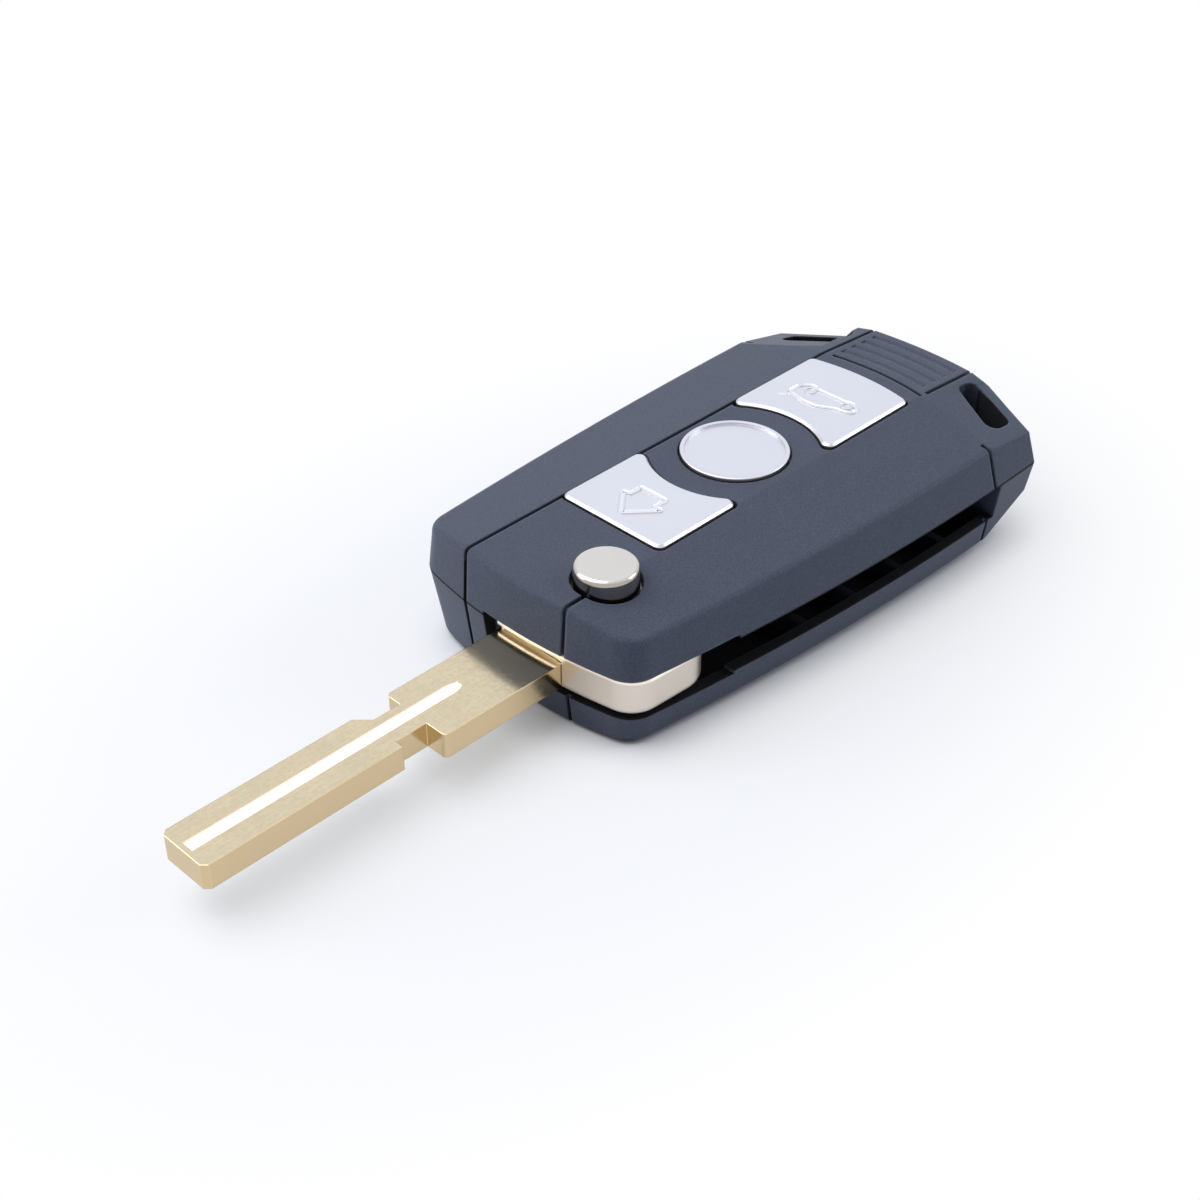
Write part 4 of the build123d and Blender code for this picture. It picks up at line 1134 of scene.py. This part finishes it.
# Room: the share of its level where the nose points, and on the other side
ROOM_COLOUR = (0.90, 0.94, 1.0)
DIM_SIDE, DIM_SHARE, BRIGHT_SHARE = (-0.64, -0.77, 0.0), 0.10, 1.25

# Lamps and camera. The lamp behind the tail has a little more power than the one beside the key.
LAMP_WHITE, LAMP_COOL = (0.98, 0.99, 1.0), (0.93, 0.96, 1.0)
LAMP_AIM = (0.01, 0.0, 0.01)
TAIL_SHARE = 1.3
CAMERA_PLACE = (-0.118549, -0.116852, 0.128650)


def clear_rays(tree):
    """1 for rays that come straight from the camera, from a mirror or through glass."""
    path = place(tree, "ShaderNodeLightPath").outputs
    both = calculate(tree, "ADD", path["Is Camera Ray"], path["Is Glossy Ray"])
    return calculate(tree, "ADD", both, path["Is Transmission Ray"], use_clamp=True)


def floor_finish(glow):
    """A pale floor that turns to plain white away from the key, for all but diffuse light, with a painted
    contact shadow close round the key.
    """
    material, tree, surface = fresh_material("pale_floor")
    surface.inputs["Roughness"].default_value = 0.9
    surface.inputs["Specular IOR Level"].default_value = 0.1
    spot, _ = coordinates(tree)
    cloud = noise(tree, spot, 6.0)
    feed(tree, tint(tree, FLOOR_COLOUR, cloud, 0.995, 1.005), surface.inputs["Base Color"])
    oval = calculate_vector(tree, "MULTIPLY", spot, FADE_SQUEEZE)
    away = calculate_vector(tree, "LENGTH", oval, output="Value")
    fade = remapped(tree, away, FADE_START, FADE_FULL, glow, interpolation_type="SMOOTHSTEP")
    # Painted contact shadow: the white glow is held back where other faces close round the floor
    beside = calculate(tree, "MULTIPLY", fade, openness(tree, FLOOR_REACH, 0.28, 0.90))
    share = calculate(tree, "MULTIPLY", beside, clear_rays(tree))
    white = place(tree, "ShaderNodeEmission").outputs["Emission"]
    merged = output_of(tree, "ShaderNodeMixShader", "Shader", {0: share, 1: surface.outputs["BSDF"], 2: white})
    out = next(n for n in tree.nodes if n.type == "OUTPUT_MATERIAL")
    feed(tree, merged, out.inputs["Surface"])
    return material


def pale_room(level):
    """Pale surroundings, brighter above and darker where the nose points, with a white background."""
    world = bpy.data.worlds.new("pale_room")
    world.use_nodes = True
    tree = world.node_tree
    tree.nodes.clear()
    toward = place(tree, "ShaderNodeTexCoord").outputs["Generated"]
    climb = remapped(tree, along(tree, toward, "Z"), -0.1, 0.8, 0.60, 1.20)
    facing = calculate_vector(tree, "DOT_PRODUCT", toward, DIM_SIDE, "Value")
    dim = remapped(tree, facing, -0.3, 0.8, level * BRIGHT_SHARE, level * DIM_SHARE)
    strength = calculate(tree, "MULTIPLY", climb, dim)
    room = {"Color": ROOM_COLOUR, "Strength": strength}
    seen = {"Color": (1.0, 1.0, 1.0)}
    either = output_of(tree, "ShaderNodeMixShader", "Shader", {
        0: clear_rays(tree),
        1: output_of(tree, "ShaderNodeBackground", "Background", room),
        2: output_of(tree, "ShaderNodeBackground", "Background", seen),
    })
    feed(tree, either, place(tree, "ShaderNodeOutputWorld").inputs["Surface"])
    return world


def add_softbox(context, name, place_at, size, power, colour):
    """A square lamp that looks at the key."""
    lamp = bpy.data.lights.new(name, "AREA")
    lamp.shape = "RECTANGLE"
    lamp.size, lamp.size_y = size, size
    lamp.energy = power
    lamp.color = colour
    holder = bpy.data.objects.new(name, lamp)
    context.scene.collection.objects.link(holder)
    holder.location = place_at
    holder.rotation_euler = (Vector(LAMP_AIM) - Vector(place_at)).to_track_quat("-Z", "Y").to_euler()


def add_camera(context, lens, azimuth, elevation):
    """The camera at the photograph's viewing angle."""
    camera = bpy.data.cameras.new("photo_camera")
    camera.lens = lens
    camera.sensor_width = 36.0
    camera.clip_start, camera.clip_end = 0.01, 10.0
    holder = bpy.data.objects.new("photo_camera", camera)
    context.scene.collection.objects.link(holder)
    holder.location = CAMERA_PLACE
    holder.rotation_euler = (math.radians(90.0) - elevation, 0.0, azimuth)
    context.scene.camera = holder


class KEY_OT_stage(bpy.types.Operator):
    """Sets the pale floor, the soft lamps, the surroundings and the camera"""

    bl_idname = "flipkey.stage"
    bl_label = "Stage"

    def execute(self, context):
        stage = settings(context, "key_stage")
        context.scene.view_settings.view_transform = "Standard"
        bm = bmesh.new()
        bmesh.ops.create_grid(bm, x_segments=2, y_segments=2, size=FLOOR_HALF)
        bmesh.ops.translate(bm, verts=bm.verts, vec=(0.0, 0.0, -FLOOR_DROP))
        floor = mesh_object(context, "floor", bm, floor_finish(stage.floor_glow))
        context.scene.world = pale_room(stage.sky_level)
        add_softbox(context, "top_softbox", (-0.12, 0.14, 0.44), 0.42, stage.softbox_power, LAMP_WHITE)
        add_softbox(context, "side_softbox", (-0.30, 0.36, 0.22), 0.25, stage.fill_power, LAMP_COOL)
        tail_power = stage.fill_power * TAIL_SHARE
        add_softbox(context, "tail_softbox", (0.42, -0.30, 0.26), 0.25, tail_power, LAMP_COOL)
        add_camera(context, stage.lens, stage.azimuth, stage.elevation)
        return {"FINISHED"}


class KEY_PT_panel(bpy.types.Panel):
    """Lists the sizes, colours and pieces of the flip key"""

    bl_idname = "KEY_PT_panel"
    bl_label = "Flip Key Shell"
    bl_space_type = "VIEW_3D"
    bl_region_type = "UI"
    bl_category = "Flip Key"

    def draw(self, context):
        layout = self.layout
        for title, name, group in PROPERTIES:
            box = layout.box()
            box.label(text=title)
            values = settings(context, name)
            for key in group.__annotations__:
                box.prop(values, key)
        column = layout.column()
        for operator in OPERATORS:
            column.operator(operator.bl_idname)


# Title in the panel, name on the scene and class of each property group
PROPERTIES = (
    ("Plastic", "key_shell", ShellFinish),
    ("Metal", "key_metal", MetalFinish),
    ("Signs", "key_signs", SignSizes),
    ("Screws", "key_screws", ScrewSizes),
    ("Spring", "key_spring", SpringSizes),
    ("Stage", "key_stage", StageSetup),
)
OPERATORS = (
    KEY_OT_case,
    KEY_OT_inside,
    KEY_OT_buttons,
    KEY_OT_blade,
    KEY_OT_signs,
    KEY_OT_screws,
    KEY_OT_spring,
    KEY_OT_stage,
)


def register():
    for _, name, group in PROPERTIES:
        bpy.utils.register_class(group)
        setattr(bpy.types.Scene, name, PointerProperty(type=group))
    for operator in OPERATORS:
        bpy.utils.register_class(operator)
    bpy.utils.register_class(KEY_PT_panel)


def unregister():
    bpy.utils.unregister_class(KEY_PT_panel)
    for operator in reversed(OPERATORS):
        bpy.utils.unregister_class(operator)
    for _, name, group in reversed(PROPERTIES):
        delattr(bpy.types.Scene, name)
        bpy.utils.unregister_class(group)


def main():
    register()
    bpy.ops.flipkey.case()
    bpy.ops.flipkey.inside()
    bpy.ops.flipkey.buttons()
    bpy.ops.flipkey.blade()
    bpy.ops.flipkey.signs()
    bpy.ops.flipkey.screws()
    bpy.ops.flipkey.spring()
    bpy.ops.flipkey.stage()
    bpy.context.view_layer.update()


if __name__ == "__main__":
    main()
